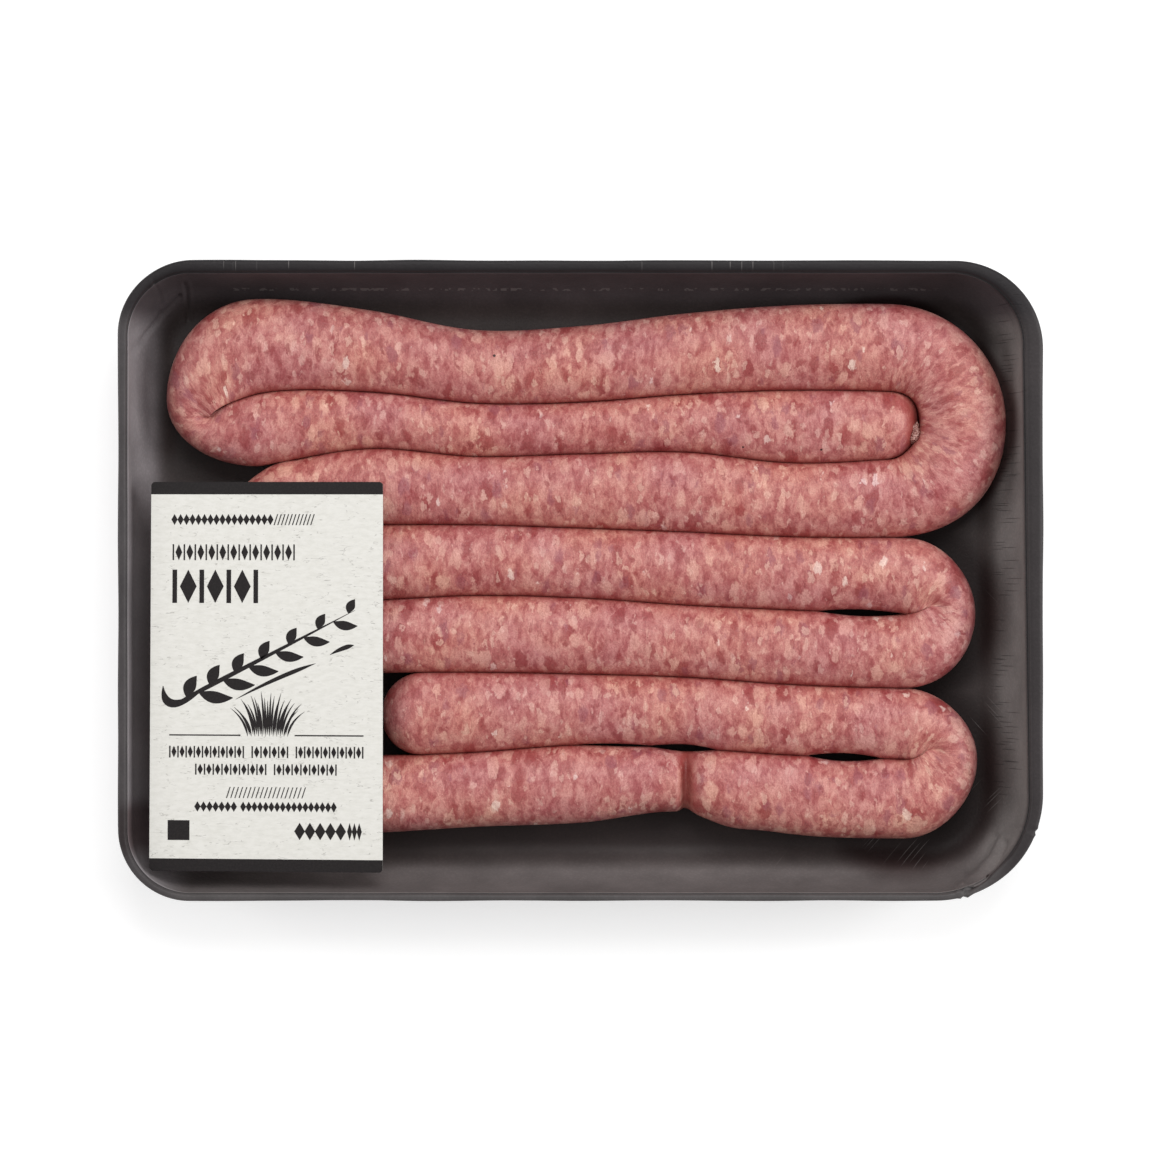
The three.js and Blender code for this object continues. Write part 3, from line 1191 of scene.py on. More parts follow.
@dataclass(frozen=True)
class FoamFinish:
    """Charcoal expanded foam with a pressed, satin skin, with painted light and shade on its walls and
    rims.

    A zone is a pair of places between which something comes in. A bend is the middle of one of the
    sausage's right turns, how far round it the painted shadow is full, and where it has faded out.
    """

    floor: Colour = from_srgb(67, 59, 58)
    # Painted light and shade: each side's wall and rim colour is paler or darker by the way it faces the
    # lights.
    wall_front_shading: Colour = from_srgb(116, 109, 108)
    wall_left_shading: Colour = from_srgb(140, 134, 136)
    wall_right_shading: Colour = from_srgb(134, 128, 126)
    wall_back_shading: Colour = from_srgb(84, 77, 79)
    rim_front_shading: Colour = from_srgb(81, 77, 77)
    rim_left_shading: Colour = from_srgb(70, 66, 67)
    rim_right_shading: Colour = from_srgb(52, 47, 48)
    rim_back_shading: Colour = from_srgb(35, 31, 33)
    mark: Colour = from_srgb(158, 152, 150)
    # Painted shade for the groove inside the rim and for the buckled creases.
    groove_shade: Colour = from_srgb(30, 27, 28)
    # The tint by which the painted shadow darkens the foam.
    shadow_tint: Colour = (0.36, 0.25, 0.25)
    clouding: Stops = ((0.3, (0.78, 0.78, 0.78)), (0.7, (1.17, 1.17, 1.17)))
    beading: Stops = ((0.1, (1.08, 1.08, 1.08)), (0.6, (0.9, 0.9, 0.9)))
    bends: tuple[tuple[float, float, float, float], ...] = (
        (87.3, 44.7, 35.5, 38),
        (92.4, -9.5, 24.5, 31.5),
        (92, -55, 25, 33),
    )
    front_shadow: tuple[Span, Span, Span] = ((-80, -74), (-60, -66), (104, 92))
    front_shadow_share: float = 0.75
    left_zone: Span = (-110, -120)
    right_zone: Span = (110, 120)
    back_zone: Span = (70, 78)
    right_rim_zone: Span = (112, 122)
    wall_foot: Span = (4.2, 9.5)
    right_wall_foot: Span = (3.8, 9.5)
    rim_foot: Span = (28.2, 29.0)
    right_rim_foot: Span = (23, 28.5)
    groove_zones: tuple[Span, Span] = ((28.3, 28.75), (29.15, 28.85))
    groove_cover: float = 0.7
    scratches: Hairs = Hairs(12, 0.22, 0.24, 0.36)
    scratch_angle: float = 48
    scratch_mirror: Triple = (200, 50, 0)
    scratch_corner: tuple[Span, Span] = ((52, 66), (-56, -62))
    scratch_side: tuple[Span, Span, Span] = ((98, 104), (0, -14), (-46, -40))
    scratch_top: Span = (9, 6)
    threads: Hairs = Hairs(6, 0.3, 0.05, 0.4)
    thread_zones: tuple[Span, Span] = ((80.5, 81.5), (104, 98))
    tick_row: tuple[Span, Span] = ((82.75, 82.9), (83.55, 83.4))
    tick_cover: float = 0.32
    buckles: Hairs = Hairs(4.5, 0.3, 0.42, 0.5)
    buckle_zones: tuple[Span, Span] = ((117, 120), (-66, -58))
    roughness: float = 0.5
    specular: float = 0.28

    def painted_shadow(self, g: Graph, place: object) -> Socket:
        """Painted shadow that the sausage casts on the foam: close round the right turns and in front.

        Args:
            g: The graph of the material.
            place: The coordinates, in millimetres.

        Returns:
            A mask, 0 to 1.
        """
        x, y, _ = g.axes(place)
        near = g.times(g.within((y, y, x), self.front_shadow), self.front_shadow_share)
        for middle_x, middle_y, full_reach, clear_reach in self.bends:
            away = g.add("VectorMath", operation="DISTANCE")
            g.put(away.inputs[0], g.scaled(place, (1, 1, 0)))
            away.inputs[1].default_value = (middle_x, middle_y, 0)
            near = g.largest(near, g.between(away.outputs["Value"], clear_reach, full_reach))
        return near

    def skin(self, g: Graph, place: object) -> Socket:
        """The colour of the floor, of each wall, of the rim, and of the dark line inside the rim, with
        painted
        light and shade: each side's wall and rim lit or shaded by the way it faces, and shade painted in
        the groove.

        Args:
            g: The graph of the material.
            place: The coordinates, in millimetres.

        Returns:
            The colour.
        """
        x, y, z = g.axes(place)
        left, right = g.between(x, *self.left_zone), g.between(x, *self.right_zone)
        back = g.between(y, *self.back_zone)
        # Painted light and shade: a colour for each side of the wall and of the rim.
        wall = g.blend("MIX", left, self.wall_front_shading, self.wall_left_shading)
        wall = g.blend("MIX", right, wall, self.wall_right_shading)
        wall = g.blend("MIX", back, wall, self.wall_back_shading)
        rim = g.blend("MIX", left, self.rim_front_shading, self.rim_left_shading)
        rim = g.blend("MIX", g.between(x, *self.right_rim_zone), rim, self.rim_right_shading)
        rim = g.blend("MIX", back, rim, self.rim_back_shading)
        colour = self.floor
        # Walls and rim come in above their foot, so the walls grow paler upwards as painted light.
        for foot, right_foot, above in (
            (self.wall_foot, self.right_wall_foot, wall),
            (self.rim_foot, self.right_rim_foot, rim),
        ):
            high = g.largest(g.between(z, *foot), g.times(g.between(z, *right_foot), right))
            colour = g.blend("MIX", high, colour, above)
        # Painted shade in the groove just inside the rim.
        groove = g.times(g.within((z, z), self.groove_zones), self.groove_cover)
        return g.blend("MIX", groove, colour, self.groove_shade)

    def pale_marks(self, g: Graph, place: object) -> Socket:
        """Scratches at the right and front right, and threads and a row of ticks on the back wall.

        Args:
            g: The graph of the material.
            place: The coordinates, in millimetres.

        Returns:
            A mask, 0 to 1.
        """
        x, y, z = g.axes(place)
        mirrored = g.vector("ABSOLUTE", g.vector("ADD", place, self.scratch_mirror))
        turned = g.add("VectorRotate", rotation_type="Z_AXIS")
        g.put(turned.inputs["Vector"], mirrored)
        turned.inputs["Angle"].default_value = math.radians(self.scratch_angle)
        scratches = self.scratches.mask(g, turned.outputs["Vector"])
        corner = g.within((x, y), self.scratch_corner)
        beside = g.within((x, y, y), self.scratch_side)
        low = g.between(z, *self.scratch_top)
        scratched = g.times(scratches, g.largest(corner, beside), low, self.scratches.cover)
        back_wall = g.within((y, g.math("ABSOLUTE", x)), self.thread_zones)
        threads = g.times(self.threads.mask(g, g.swapped(place)), back_wall, self.threads.cover)
        row = g.within((y, y), self.tick_row)
        dashes = g.between(g.noise(g.scaled(place, (0.8, 1.1, 0.3)), 1.0, 1), 0.54, 0.57)
        ticks = g.times(row, dashes, back_wall, self.tick_cover)
        return g.largest(ticks, threads, scratched)

    def creases(self, g: Graph, place: object) -> Socket:
        """Hair creases where the right wall has buckled, bumped in and darkened with painted shade.

        Args:
            g: The graph of the material.
            place: The coordinates, in millimetres.

        Returns:
            A mask, 0 to 1.
        """
        x, y, _ = g.axes(place)
        return g.times(self.buckles.mask(g, place), g.within((x, y), self.buckle_zones))

    def material(self) -> bpy.types.Material:
        """Builds the foam skin with its clouding, its fine cells, the marks of its upper side, and the
        painted shadow and painted crease shade on that side.

        Returns:
            The material.
        """
        g = Graph("black_foam")
        place = g.place()
        upper = g.level("upper")
        colour = self.skin(g, place)
        cloud = g.noise(place, 0.06, 3, 0.6)
        colour = g.shaded(colour, 0.8, cloud, self.clouding)
        beads = g.cells(place, 1.1).outputs["Distance"]
        colour = g.shaded(colour, 0.7, beads, self.beading)
        # Painted shadow round the sausage on the upper skin.
        colour = g.blend("MULTIPLY", g.times(self.painted_shadow(g, place), upper), colour, self.shadow_tint)
        colour = g.blend("MIX", g.times(self.pale_marks(g, place), upper), colour, self.mark)
        creases = g.times(self.creases(g, place), upper)
        # Painted shade darkens the buckled creases.
        colour = g.blend("MIX", g.times(creases, self.buckles.cover), colour, self.groove_shade)
        grain = g.noise(place, 1.1, 2, 0.6)
        height = g.math("SUBTRACT", g.times(grain, 0.6), g.times(creases, 0.8))
        return g.finished(colour, self.roughness, self.specular, g.bump(height, 0.35, 0.4))


@dataclass(frozen=True)
class Dent:
    """A crease pressed into the foam along a bent line seen from above.

    Its points, its depth and width, and the height and place of the lip beside it, as shares of
    the depth and of the width.
    """

    line: tuple[Span, ...]
    depth: float = 0.5
    width: float = 0.6
    lip: float = 0.45
    lip_place: float = 2.2

    def push(self, x: float, y: float) -> float:
        """How far the skin is pushed out at a point: in along the line, and out a little beside it.

        Args:
            x: The point's x.
            y: The point's y.

        Returns:
            The distance, in millimetres.
        """
        away = math.inf
        for start, end in zip(self.line, self.line[1:]):
            a, b = Vector(start), Vector(end)
            share = clamp((Vector((x, y)) - a).dot(b - a) / (b - a).length_squared)
            away = min(away, (Vector((x, y)) - a.lerp(b, share)).length)
        beside = (away - self.lip_place * self.width) / self.width
        return self.depth * (self.lip * math.exp(-(beside**2)) - math.exp(-((away / self.width) ** 2)))


@dataclass
class Tray:
    """The moulded foam dish, its outline a rectangle with four unlike corners.

    Corners go against the clock from the back right one. The rim has a width where each side that
    leads to a corner starts and ends. The profile's rows from upper_row on are the upper side.
    """

    length: float = 260
    width: float = 180
    height: float = 30
    foam: float = 3.6
    wall: float = 2.2
    rim_thickness: float = 2.2
    rim_drop: float = 0.8
    rim_roll: float = 0.9
    cove: float = 12.5
    cove_start: float = 0.06
    corner_radii: tuple[float, ...] = (25, 21, 20, 30)
    rim_widths: tuple[Span, ...] = ((3.8, 5.4), (3.4, 3.4), (2.5, 2.5), (2.0, 2.0))
    corner_steps: int = 48
    side_steps: int = 110
    cove_steps: int = 30
    under_steps: int = 12
    roll_steps: int = 5
    upper_row: int = 16
    waviness: float = 0.25
    wave_length: float = 22
    wave_foot: Span = (3.8, 8)
    highest_wave: float = 0.3
    dents: tuple[Dent, ...] = (
        Dent(((-114.5, 81.5), (-120.0, 76.2), (-124.0, 70.6), (-127.0, 64.8)), 0.7, 0.42, 0.2),
        Dent(((-119.8, 84.6), (-119.6, 80.2), (-120.4, 76.4)), 0.3, 0.35, 0.3),
        Dent(((-112.6, 84.5), (-112.8, 78.0), (-113.2, 70.5)), 0.35, 0.5),
        Dent(((107.4, -86.9), (108.6, -90.5)), 1.0, 0.45),
        Dent(((108.2, -87.4), (113.9, -83.5), (118.1, -79.1), (120.8, -74.4)), 1.1, 0.5),
        Dent(((110.5, -82.5), (115.6, -78.2), (118.6, -73.2)), 0.5, 0.8),
        Dent(((120.8, -70.5), (124.8, -69.9), (128.5, -70.6)), 0.4, 0.4),
    )

    def profile(self, rim: float) -> list[tuple[float, float]]:
        """Inset from the outline and height, from under the floor round the rim to its upper side.

        Args:
            rim: The rim's width here.

        Returns:
            The points in order.
        """
        edge = self.height - self.rim_drop
        foot = rim + self.cove
        points = []
        outside, top, inner = self.cove + self.wall, self.height, edge - self.foam
        for i in range(self.under_steps, 2, -1):
            angle = i / self.under_steps * math.pi / 2
            points.append((foot - outside * math.cos(angle), edge * (1 - math.sin(angle))))
        under = top - self.rim_thickness
        points += [(rim * 0.5, under - 0.8), (rim * 0.2, under - 0.35), (0, under)]
        for i in range(self.roll_steps + 1):
            angle = math.radians(mix(180, 90, i / self.roll_steps))
            lowered = self.rim_roll * (1 - math.sin(angle))
            points.append((rim * 0.32 * (1 + math.cos(angle)), top - lowered))
        points += [(rim * 0.6, top), (rim * 0.8, top - 0.1), (rim * 0.92, top - 0.5)]
        points += [(rim, edge - 0.5), (rim + 0.12, edge - 0.3)]
        for i in range(1, self.cove_steps + 1):
            angle = mix(self.cove_start, 1, i / self.cove_steps) * math.pi / 2
            points.append((foot - self.cove * math.cos(angle), edge - inner * math.sin(angle)))
        return points

    def outline(self) -> list[tuple[float, float, float, float, float]]:
        """Places round the outline: corner middle x and y, corner radius, angle and rim width.

        Returns:
            The places, against the clock from the back right corner.
        """
        places = []
        for corner, radius in enumerate(self.corner_radii):
            after = (corner + 1) % 4
            here, there = self.corner_middle(corner), self.corner_middle(after)
            for step in range(self.corner_steps + 1):
                share = step / self.corner_steps
                rim = mix(self.rim_widths[corner][1], self.rim_widths[after][0], share)
                places.append((*here, radius, math.radians(90 * (corner + share)), rim))
            for step in range(1, self.side_steps):
                share = step / self.side_steps
                x, y = mix(here[0], there[0], share), mix(here[1], there[1], share)
                mid_radius = mix(radius, self.corner_radii[after], share)
                rim = mix(*self.rim_widths[after], share)
                places.append((x, y, mid_radius, math.radians(90 * (corner + 1)), rim))
        return places

    def corner_middle(self, corner: int) -> tuple[float, float]:
        """The middle of a corner's arc.

        Args:
            corner: Its number, against the clock from the back right.

        Returns:
            Its x and y.
        """
        sign_x = 1 if corner in (0, 3) else -1
        sign_y = 1 if corner < 2 else -1
        radius = self.corner_radii[corner]
        return sign_x * (self.length / 2 - radius), sign_y * (self.width / 2 - radius)

    def mesh(self) -> Piece:
        """Carries the profile round the outline, closes floor and underside, and dents the skin.

        Returns:
            The piece.
        """
        places = self.outline()
        profiles = [self.profile(place[4]) for place in places]
        rows = len(profiles[0])
        bm = bmesh.new()
        bmesh.ops.create_grid(bm, x_segments=len(places), y_segments=rows - 1, size=0.5)
        upper = bm.verts.layers.float.new("upper")
        for vert in bm.verts:
            column = round((vert.co.x + 0.5) * len(places)) % len(places)
            row = round((vert.co.y + 0.5) * (rows - 1))
            vert[upper] = float(row >= self.upper_row)
            x, y, radius, angle, _ = places[column]
            inset, z = profiles[column][row]
            reach = radius - inset
            vert.co = Vector((x + reach * math.cos(angle), y + reach * math.sin(angle), z)) * MM
        bmesh.ops.remove_doubles(bm, verts=bm.verts, dist=WELD)
        rims = [e for e in bm.edges if e.is_boundary]
        for is_floor in (False, True):
            ring = [e for e in rims if (e.verts[0].co.z > self.foam / 2 * MM) == is_floor]
            bmesh.ops.contextual_create(bm, geom=ring)
        bmesh.ops.recalc_face_normals(bm, faces=bm.faces)
        bm.normal_update()
        self.dent(bm)
        return finished_piece("foam_tray", bm, FoamFinish().material(), "tray")

    def dent(self, bm: Shape) -> None:
        """Pushes the upper skin in along the creases and lets it wave a little.

        Args:
            bm: The tray's shape, with its normals.
        """
        moves = []
        for vert in bm.verts:
            place = vert.co / MM
            if place.z < self.foam + 0.2 or vert.normal.z < 0.05:
                continue
            spot = Vector((place.x / self.wave_length, place.y / self.wave_length, 0.5))
            wave = self.waviness * noise.noise(spot) * soft_step(*self.wave_foot, place.z)
            push = sum(dent.push(place.x, place.y) for dent in self.dents)
            moves.append((vert, vert.normal * (push + wave) * MM))
        for vert, move in moves:
            vert.co += move
            vert.co.z = min(vert.co.z, (self.height + self.highest_wave) * MM)

    def build(self) -> list[Piece]:
        """Makes the tray."""
        return [self.mesh()]


@dataclass(frozen=True)
class CardFinish:
    """Uncoated off-white paper with fine grey fibres in it."""

    paper: Colour = from_srgb(230, 228, 222)
    shadow: Colour = from_srgb(220, 218, 211)
    fibre: Colour = from_srgb(150, 146, 140)
    roughness: float = 0.75
    specular: float = 0.25

    def material(self) -> bpy.types.Material:
        """Builds the paper.

        Returns:
            The material.
        """
        g = Graph("fibre_paper")
        place = g.place()
        wander = g.noise(g.scaled(place, (0.1, 0.5, 1)), 1.0, 3, 0.6)
        line = g.between(g.math("ABSOLUTE", g.math("SUBTRACT", wander, 0.5)), 0.012, 0.003)
        patch = g.between(g.noise(place, 0.45, 1), 0.5, 0.62)
        mottle = g.noise(g.scaled(place, (0.5, 1.2, 1)), 0.7, 4, 0.7)
        tone = g.ramp(mottle, ((0.3, self.shadow), (0.6, self.paper)))
        colour = g.blend("MIX", g.times(line, patch, 0.55), tone, self.fibre)
        return g.finished(colour, self.roughness, self.specular, g.bump(g.noise(place, 3, 3), 0.05, 0.3))


@dataclass(frozen=True)
class InkFinish:
    """Near-black print, a little worn into the paper's grain."""

    ink: Colour = from_srgb(24, 19, 20)
    worn: Colour = from_srgb(36, 31, 31)
    roughness: float = 0.6
    specular: float = 0.3

    def material(self) -> bpy.types.Material:
        """Builds the ink.

        Returns:
            The material.
        """
        g = Graph("print_ink")
        colour = g.ramp(g.noise(g.place(), 1.8, 3), ((0.4, self.ink), (0.75, self.worn)))
        return g.finished(colour, self.roughness, self.specular)


class Motif(Enum):
    """What a printed row repeats."""

    HATCH = "slanting strokes"
    LOZENGES = "filled lozenges"
    FENCE = "bars and filled lozenges in turn"


@dataclass(frozen=True)
class Frieze:
    """A printed row of one motif in groups.

    The row's left end and middle line from the card's upper left corner, its height, the lengths
    of its groups, the width of its strokes and the space from one mark to the next.
    """

    motif: Motif
    left: float
    down: float
    height: float
    groups: tuple[float, ...]
    stroke: float
    pitch: float
    gap: float = 1.8


@dataclass(frozen=True)
class Brush:
    """A brush stroke on a bent line, thin at both ends.

    Its start, the point that it bends to and its end, from the card's upper left corner, its
    greatest width, and the share of its length at which that is.
    """

    points: tuple[Sequence[float], ...]
    width: float
    full: float

    def at(self, share: float) -> Vector:
        """The place at a share of its length.

        Args:
            share: The share.

        Returns:
            The place.
        """
        start, bend, end = (Vector(point) for point in self.points)
        return start.lerp(bend, share).lerp(bend.lerp(end, share), share)


@dataclass
class LabelCard:
    """The card that lies over the sausage, with a generic print of bands, friezes and leaves."""

    corners: tuple[Span, ...] = ((-121.6, -81.8), (-55.8, -82.4), (-55.7, 27.8), (-121, 27.8))
    corner_radius: float = 1.1
    corner_segments: int = 5
    band: float = 3.5
    thickness: float = 0.5
    ink: float = 0.04
    layers: int = 7
    layer_height: float = 0.003
    hatch_lean: float = 0.16
    lozenge_share: float = 0.52
    fence_share: float = 0.62
    square: tuple[float, float, float, float] = (5.1, 95.3, 11.2, 100.9)
    brush_steps: int = 14
    brush_tip: float = 0.06
    hook: Brush = Brush(((3.6, 57.5), (3.6, 66.5), (14.0, 59.2)), 2.4, 0.4)
    stem: Brush = Brush(((6.0, 63.0), (27.0, 52.0), (57.5, 36.0)), 1.3, 0.25)
    dashes: tuple[Brush, Brush] = (
        Brush(((24.0, 61.2), (35.0, 55.0), (46.4, 51.0)), 1.2, 0.7),
        Brush(((50.4, 48.6), (53.6, 46.6), (57.2, 45.8)), 1.3, 0.7),
    )
    leaves: int = 13
    leaf_places: Span = (0.1, 0.97)
    leaf_lengths: Span = (10.5, 6.5)
    leaf_widths: Span = (3.6, 2.5)
    leaf_angles: Span = (28, 38)
    upper_leaf_share: float = 0.66
    leaf_bow: Span = (0.45, 0.16)
    blades: int = 23
    blade_heights: Span = (12.4, 4.5)
    blade_unevenness: float = 0.22
    blade_width: float = 0.62
    tuft_foot: Span = (33.0, 71.6)
    tuft_spread: Span = (5.6, 4.8)
    rules: tuple[Span, Span] = ((5.4, 25.4), (40.6, 59.9))
    rule_width: float = 0.38
    rule_down: float = 71.1
    rows: tuple[Frieze, ...] = (
        Frieze(Motif.LOZENGES, 6.1, 10.6, 3.1, (28.0,), 1.0, 1.75),
        Frieze(Motif.HATCH, 35.0, 10.6, 3.1, (10.6,), 0.3, 1.1),
        Frieze(Motif.FENCE, 6.1, 19.8, 4.5, (34.4,), 0.42, 1.5),
        Frieze(Motif.FENCE, 6.1, 29.4, 9.4, (24.1,), 1.3, 4.0),
        Frieze(Motif.FENCE, 5.4, 76.0, 3.3, (21.0, 10.3, 19.0), 0.4, 1.2, 2.1),
        Frieze(Motif.FENCE, 12.7, 80.9, 3.1, (20.0, 17.6), 0.4, 1.2, 2.1),
        Frieze(Motif.HATCH, 21.9, 87.4, 3.1, (21.4,), 0.28, 1.2),
        Frieze(Motif.LOZENGES, 13.0, 91.4, 2.9, (11.0, 26.2), 0.8, 1.6, 1.8),
        Frieze(Motif.LOZENGES, 41.5, 98.2, 4.9, (12.6, 3.8), 1.1, 2.6, 1.4),
    )

    def at(self, right: float, down: float) -> Vector:
        """A place on the card, from its upper left corner, in millimetres.

        Args:
            right: How far right.
            down: How far down.

        Returns:
            The place.
        """
        lower_left, lower_right, upper_right, upper_left = (Vector(c) for c in self.corners)
        width, height = (upper_right - upper_left).length, (upper_left - lower_left).length
        high = upper_left.lerp(upper_right, right / width)
        low = lower_left.lerp(lower_right, right / width)
        return high.lerp(low, down / height)

    def layer(self, bm: Shape) -> float:
        """A hair's height for the newest shape, so that crossing shapes never share a plane."""
        return len(bm.verts) % self.layers * self.layer_height * MM

    def raise_flat(self, bm: Shape, bottom: float, depth: float) -> None:
        """Lifts flat shapes to a height, thickens them upwards and turns their faces outward.

        Args:
            bm: The flat shapes.
            bottom: The height of their underside, in metres.
            depth: Their thickness, in metres.
        """
        bmesh.ops.translate(bm, vec=Vector((0, 0, bottom)), verts=bm.verts[:])
        shell = bmesh.ops.extrude_face_region(bm, geom=bm.faces[:])
        lifted = [item for item in shell["geom"] if isinstance(item, bmesh.types.BMVert)]
        bmesh.ops.translate(bm, vec=Vector((0, 0, depth)), verts=lifted)
        bmesh.ops.recalc_face_normals(bm, faces=bm.faces)

    def block(
        self, bm: Shape, corners: list[Vector], radius: float = 0.0, ends: str = "both"
    ) -> None:
        """Adds a flat four-sided shape.

        Args:
            bm: The shape that it is added to.
            corners: Its corners, from the lower left one and against the clock.
            radius: The radius of the rounded corners.
            ends: Which ends have them: both, low or high.
        """
        made = bmesh.ops.create_grid(bm, x_segments=1, y_segments=1, size=0.5)["verts"]
        rounded = [v for v in made if ends == "both" or (v.co.y > 0) == (ends == "high")]
        layer = self.layer(bm)
        for vert in made:
            low = corners[0].lerp(corners[1], vert.co.x + 0.5)
            high = corners[3].lerp(corners[2], vert.co.x + 0.5)
            place = low.lerp(high, vert.co.y + 0.5) * MM
            vert.co = Vector((place.x, place.y, layer))
        if radius:
            bmesh.ops.bevel(
                bm,
                geom=rounded,
                offset=radius * MM,
                segments=self.corner_segments,
                profile=0.5,
                affect="VERTICES",
                material=-1,
            )

    def box(self, bm: Shape, left: float, top: float, right: float, bottom: float) -> None:
        """Adds a flat block between two distances right and two down from the upper left corner."""
        spots = ((left, bottom), (right, bottom), (right, top), (left, top))
        self.block(bm, [self.at(*spot) for spot in spots])

    def card(self) -> Piece:
        """The paper itself.

        Returns:
            The piece.
        """
        bm = bmesh.new()
        self.block(bm, [Vector(c) for c in self.corners], self.corner_radius)
        self.raise_flat(bm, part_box("label_card")[0].z, self.thickness * MM)
        finish = CardFinish().material()
        return finished_piece("card", bm, finish, "label_card", smooth=False)

    def bands(self, bm: Shape) -> None:
        """The dark bands along the upper and the lower edge.

        Args:
            bm: The shape that it is added to.
        """
        lower_left, lower_right, upper_right, upper_left = (Vector(c) for c in self.corners)
        share = self.band / (upper_left - lower_left).length
        low_left, low_right = lower_left.lerp(upper_left, share), lower_right.lerp(upper_right, share)
        high_left, high_right = upper_left.lerp(lower_left, share), upper_right.lerp(lower_right, share)
        self.block(bm, [lower_left, lower_right, low_right, low_left], self.corner_radius, "low")
        self.block(bm, [high_left, high_right, upper_right, upper_left], self.corner_radius, "high")

    def frieze(self, bm: Shape, row: Frieze) -> None:
        """Adds one row of marks, evenly spaced in each of its groups.

        Args:
            bm: The shape that it is added to.
            row: The row.
        """
        start, top, bottom = row.left, row.down - row.height / 2, row.down + row.height / 2
        lean = row.height * self.hatch_lean if row.motif is Motif.HATCH else 0.0
        share = self.lozenge_share if row.motif is Motif.LOZENGES else self.fence_share
        for length in row.groups:
            count = 2 * max(1, round(length / row.pitch / 2)) + 1
            step = (length - row.stroke) / (count - 1)
            for i in range(count):
                x = start + row.stroke / 2 + i * step
                if row.motif is Motif.LOZENGES or (row.motif is Motif.FENCE and i % 2):
                    half = step * share
                    spots = ((x - half, row.down), (x, bottom), (x + half, row.down), (x, top))
                else:
                    half = row.stroke / 2
                    spots = (
                        (x - half - lean, bottom),
                        (x + half - lean, bottom),
                        (x + half + lean, top),
                        (x - half + lean, top),
                    )
                self.block(bm, [self.at(*spot) for spot in spots])
            start += length + row.gap

    def stroke(self, bm: Shape, line: list[Vector], widths: list[float]) -> None:
        """Adds a flat ribbon along a line of places on the card, with its width at each.

        Args:
            bm: The shape that it is added to.
            line: The places, from the upper left corner.
            widths: The width at each.
        """
        made = bmesh.ops.create_grid(bm, x_segments=len(line) - 1, y_segments=1, size=0.5)["verts"]
        layer = self.layer(bm)
        for vert in made:
            index = round((vert.co.x + 0.5) * (len(line) - 1))
            way = line[min(index + 1, len(line) - 1)] - line[max(index - 1, 0)]
            side = Vector((way.y, -way.x)).normalized() * widths[index] * vert.co.y
            spot = self.at(line[index].x + side.x, line[index].y + side.y) * MM
            vert.co = Vector((spot.x, spot.y, layer))

    def brush(self, bm: Shape, stroke: Brush) -> None:
        """Adds a brush stroke.

        Args:
            bm: The shape that it is added to.
            stroke: The stroke.
        """
        line, widths = [], []
        for i in range(self.brush_steps + 1):
            share = i / self.brush_steps
            line.append(stroke.at(share))
            swell = share / stroke.full if share < stroke.full else (1 - share) / (1 - stroke.full)
            fullness = self.brush_tip + (1 - self.brush_tip) * math.sin(swell * math.pi / 2)
            widths.append(stroke.width * fullness)
        self.stroke(bm, line, widths)

    def branch(self, bm: Shape) -> None:
        """A leafy branch that rises to the right, drawn with a brush, and two dashes under it.

        Args:
            bm: The shape that it is added to.
        """
        self.brush(bm, self.hook)
        self.brush(bm, self.stem)
        base_angle, spread = self.leaf_angles
        bow_place, bow = self.leaf_bow
        for i in range(self.leaves):
            share = mix(*self.leaf_places, i / (self.leaves - 1))
            root = self.stem.at(share)
            side = -1 if i % 2 else 1
            long = mix(*self.leaf_lengths, share) * (1.0 if side < 0 else self.upper_leaf_share)
            lean = math.radians(base_angle + side * spread)
            tip = root + Vector((long * math.cos(lean), -long * math.sin(lean)))
            aside = Vector((-math.sin(lean), -math.cos(lean))) * side * long * bow
            points = (root, root.lerp(tip, bow_place) + aside, tip)
            self.brush(bm, Brush(points, mix(*self.leaf_widths, share), 0.5))
        for dash in self.dashes:
            self.brush(bm, dash)

    def tuft(self, bm: Shape) -> None:
        """A tuft of grass between two thin rules.

        Args:
            bm: The shape that it is added to.
        """
        for left, right in self.rules:
            self.box(bm, left, self.rule_down, right, self.rule_down + self.rule_width)
        tallest, droop = self.blade_heights
        middle, foot = self.tuft_foot
        low_spread, spread = self.tuft_spread
        for i in range(self.blades):
            lean = mix(-1, 1, i / (self.blades - 1))
            tall = (tallest - droop * lean**2) * (1 - self.blade_unevenness * (i % 3) / 2)
            root = Vector((middle + low_spread * lean, foot - 0.5 * (i % 2)))
            bend = root + Vector((0.6 * lean, -0.6 * tall))
            tip = root + Vector((spread * lean, -tall))
            self.brush(bm, Brush((root, bend, tip), self.blade_width, 0.3))

    def print(self) -> Piece:
        """All that is printed, as one thin piece.

        Returns:
            The piece.
        """
        bm = bmesh.new()
        self.bands(bm)
        for row in self.rows:
            self.frieze(bm, row)
        self.box(bm, *self.square)
        self.branch(bm)
        self.tuft(bm)
        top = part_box("label_card")[0].z + self.thickness * MM
        self.raise_flat(bm, top - self.ink * MM, 2 * self.ink * MM)
        return finished_piece("label_print", bm, InkFinish().material(), smooth=False)

    def build(self) -> list[Piece]:
        """Makes the card and its print."""
        return [self.card(), self.print()]


def finished_piece(
    name: str,
    bm: Shape,
    material: bpy.types.Material,
    node: str = "",
    smooth: bool = True,
) -> Piece:
    """Turns a bmesh into a piece of the pack that rides on its body.

    Args:
        name: The piece's name.
        bm: Its shape, in metres. It is freed.
        material: Its material.
        node: The CAD node that it stands for, if any.
        smooth: Whether its faces are shaded smooth.

    Returns:
        The object.
    """
    mesh = bpy.data.meshes.new(name)
    for face in bm.faces:
        face.smooth = smooth
    bm.to_mesh(mesh)
    bm.free()
    mesh.materials.append(material)
    piece = bpy.data.objects.new(name, mesh)
    bpy.context.collection.objects.link(piece)
    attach(piece, BODY)
    if node:
        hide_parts(node)
    return piece


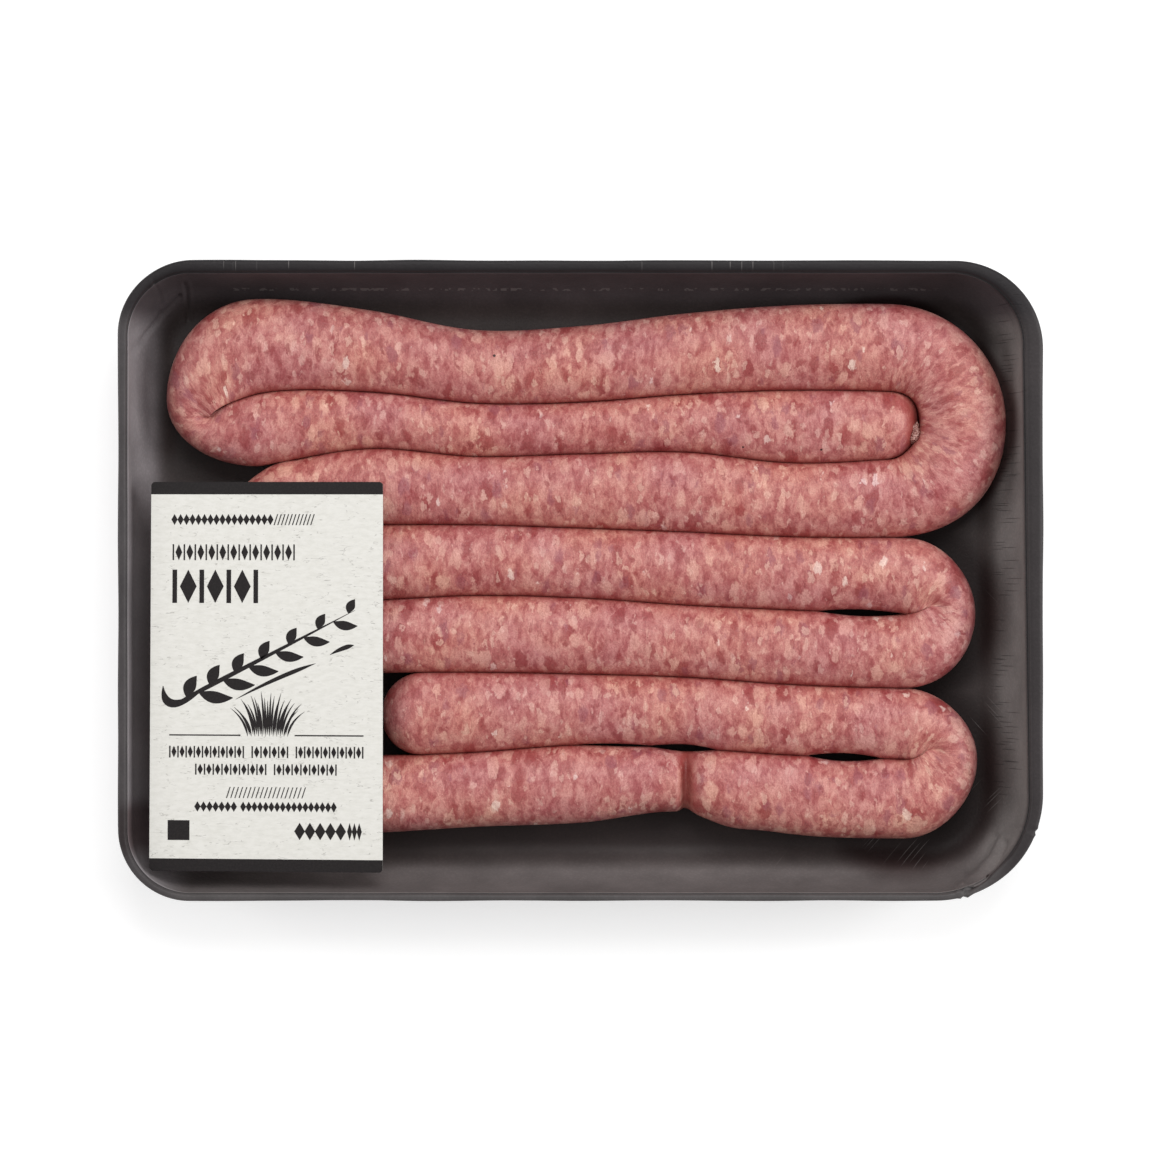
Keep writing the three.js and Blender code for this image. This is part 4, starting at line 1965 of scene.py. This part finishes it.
@dataclass
class Studio:
    """The pale floor, the soft light and the camera straight above the tray."""

    camera_height: float = 1100
    frame_pixels: float = 1161
    rim_mm_per_pixel: float = 0.2808
    rim_height: float = 30
    sensor: float = 36
    floor_colour: Colour = from_srgb(214, 214, 214)
    floor_glow: float = 0.5
    floor_roughness: float = 0.8
    floor_reach: float = 3
    world_strength: float = 0.4
    light_size: float = 0.7
    back_power: float = 7.2
    right_power: float = 10.5
    left_power: float = 5.5

    def camera(self) -> Piece:
        """A camera that looks straight down, its frame that of the photograph.

        Returns:
            The camera.
        """
        data = bpy.data.cameras.new("camera")
        seen = self.frame_pixels * self.rim_mm_per_pixel
        data.sensor_width = self.sensor
        data.lens = self.sensor * (self.camera_height - self.rim_height) / seen
        data.clip_start = 0.01
        data.clip_end = 20
        camera = bpy.data.objects.new("camera", data)
        camera.location = (0, 0, self.camera_height * MM)
        bpy.context.collection.objects.link(camera)
        bpy.context.scene.camera = camera
        return camera

    def floor(self) -> None:
        """A wide plain floor under the tray, faintly lit from below."""
        bm = bmesh.new()
        bmesh.ops.create_grid(bm, x_segments=1, y_segments=1, size=self.floor_reach)
        mesh = bpy.data.meshes.new("floor")
        bm.to_mesh(mesh)
        bm.free()
        g = Graph("pale_floor")
        g.shader.inputs["Emission Color"].default_value = (1, 1, 1, 1)
        g.shader.inputs["Emission Strength"].default_value = self.floor_glow
        mesh.materials.append(g.finished(self.floor_colour, self.floor_roughness))
        floor = bpy.data.objects.new("floor", mesh)
        bpy.context.collection.objects.link(floor)

    def soft_light(self, name: str, place: Triple, power: float) -> None:
        """Adds a square soft light that faces the tray.

        Args:
            name: Its name.
            place: Where it stands, in metres.
            power: Its power in watts.
        """
        data = bpy.data.lights.new(name, "AREA")
        data.size = self.light_size
        data.energy = power
        light = bpy.data.objects.new(name, data)
        light.location = place
        light.rotation_euler = Vector(place).to_track_quat("Z", "Y").to_euler()
        bpy.context.collection.objects.link(light)

    def light(self) -> None:
        """Soft lights behind and on both sides, and an even white sky."""
        self.soft_light("back_light", (0.1, 0.75, 1.15), self.back_power)
        self.soft_light("right_light", (1.2, 0.15, 0.7), self.right_power)
        self.soft_light("left_light", (-1.2, 0.1, 0.7), self.left_power)
        world = bpy.data.worlds.new("white_sky")
        world.use_nodes = True
        background = world.node_tree.nodes["Background"]
        background.inputs["Color"].default_value = (1, 1, 1, 1)
        background.inputs["Strength"].default_value = self.world_strength
        bpy.context.scene.world = world
        bpy.context.scene.view_settings.view_transform = "Standard"

    def build(self) -> None:
        """Sets up the camera, floor and lights."""
        self.camera()
        self.floor()
        self.light()


def main() -> None:
    """Builds the studio and the pack, and reports each piece."""
    logging.basicConfig(level=logging.INFO, format="%(name)s: %(message)s")
    Studio().build()
    for part in (Tray(), SausageString(), LabelCard()):
        for piece in part.build():
            LOG.info("%s: %d faces", piece.name, len(piece.data.polygons))


if __name__ == "__main__":
    main()
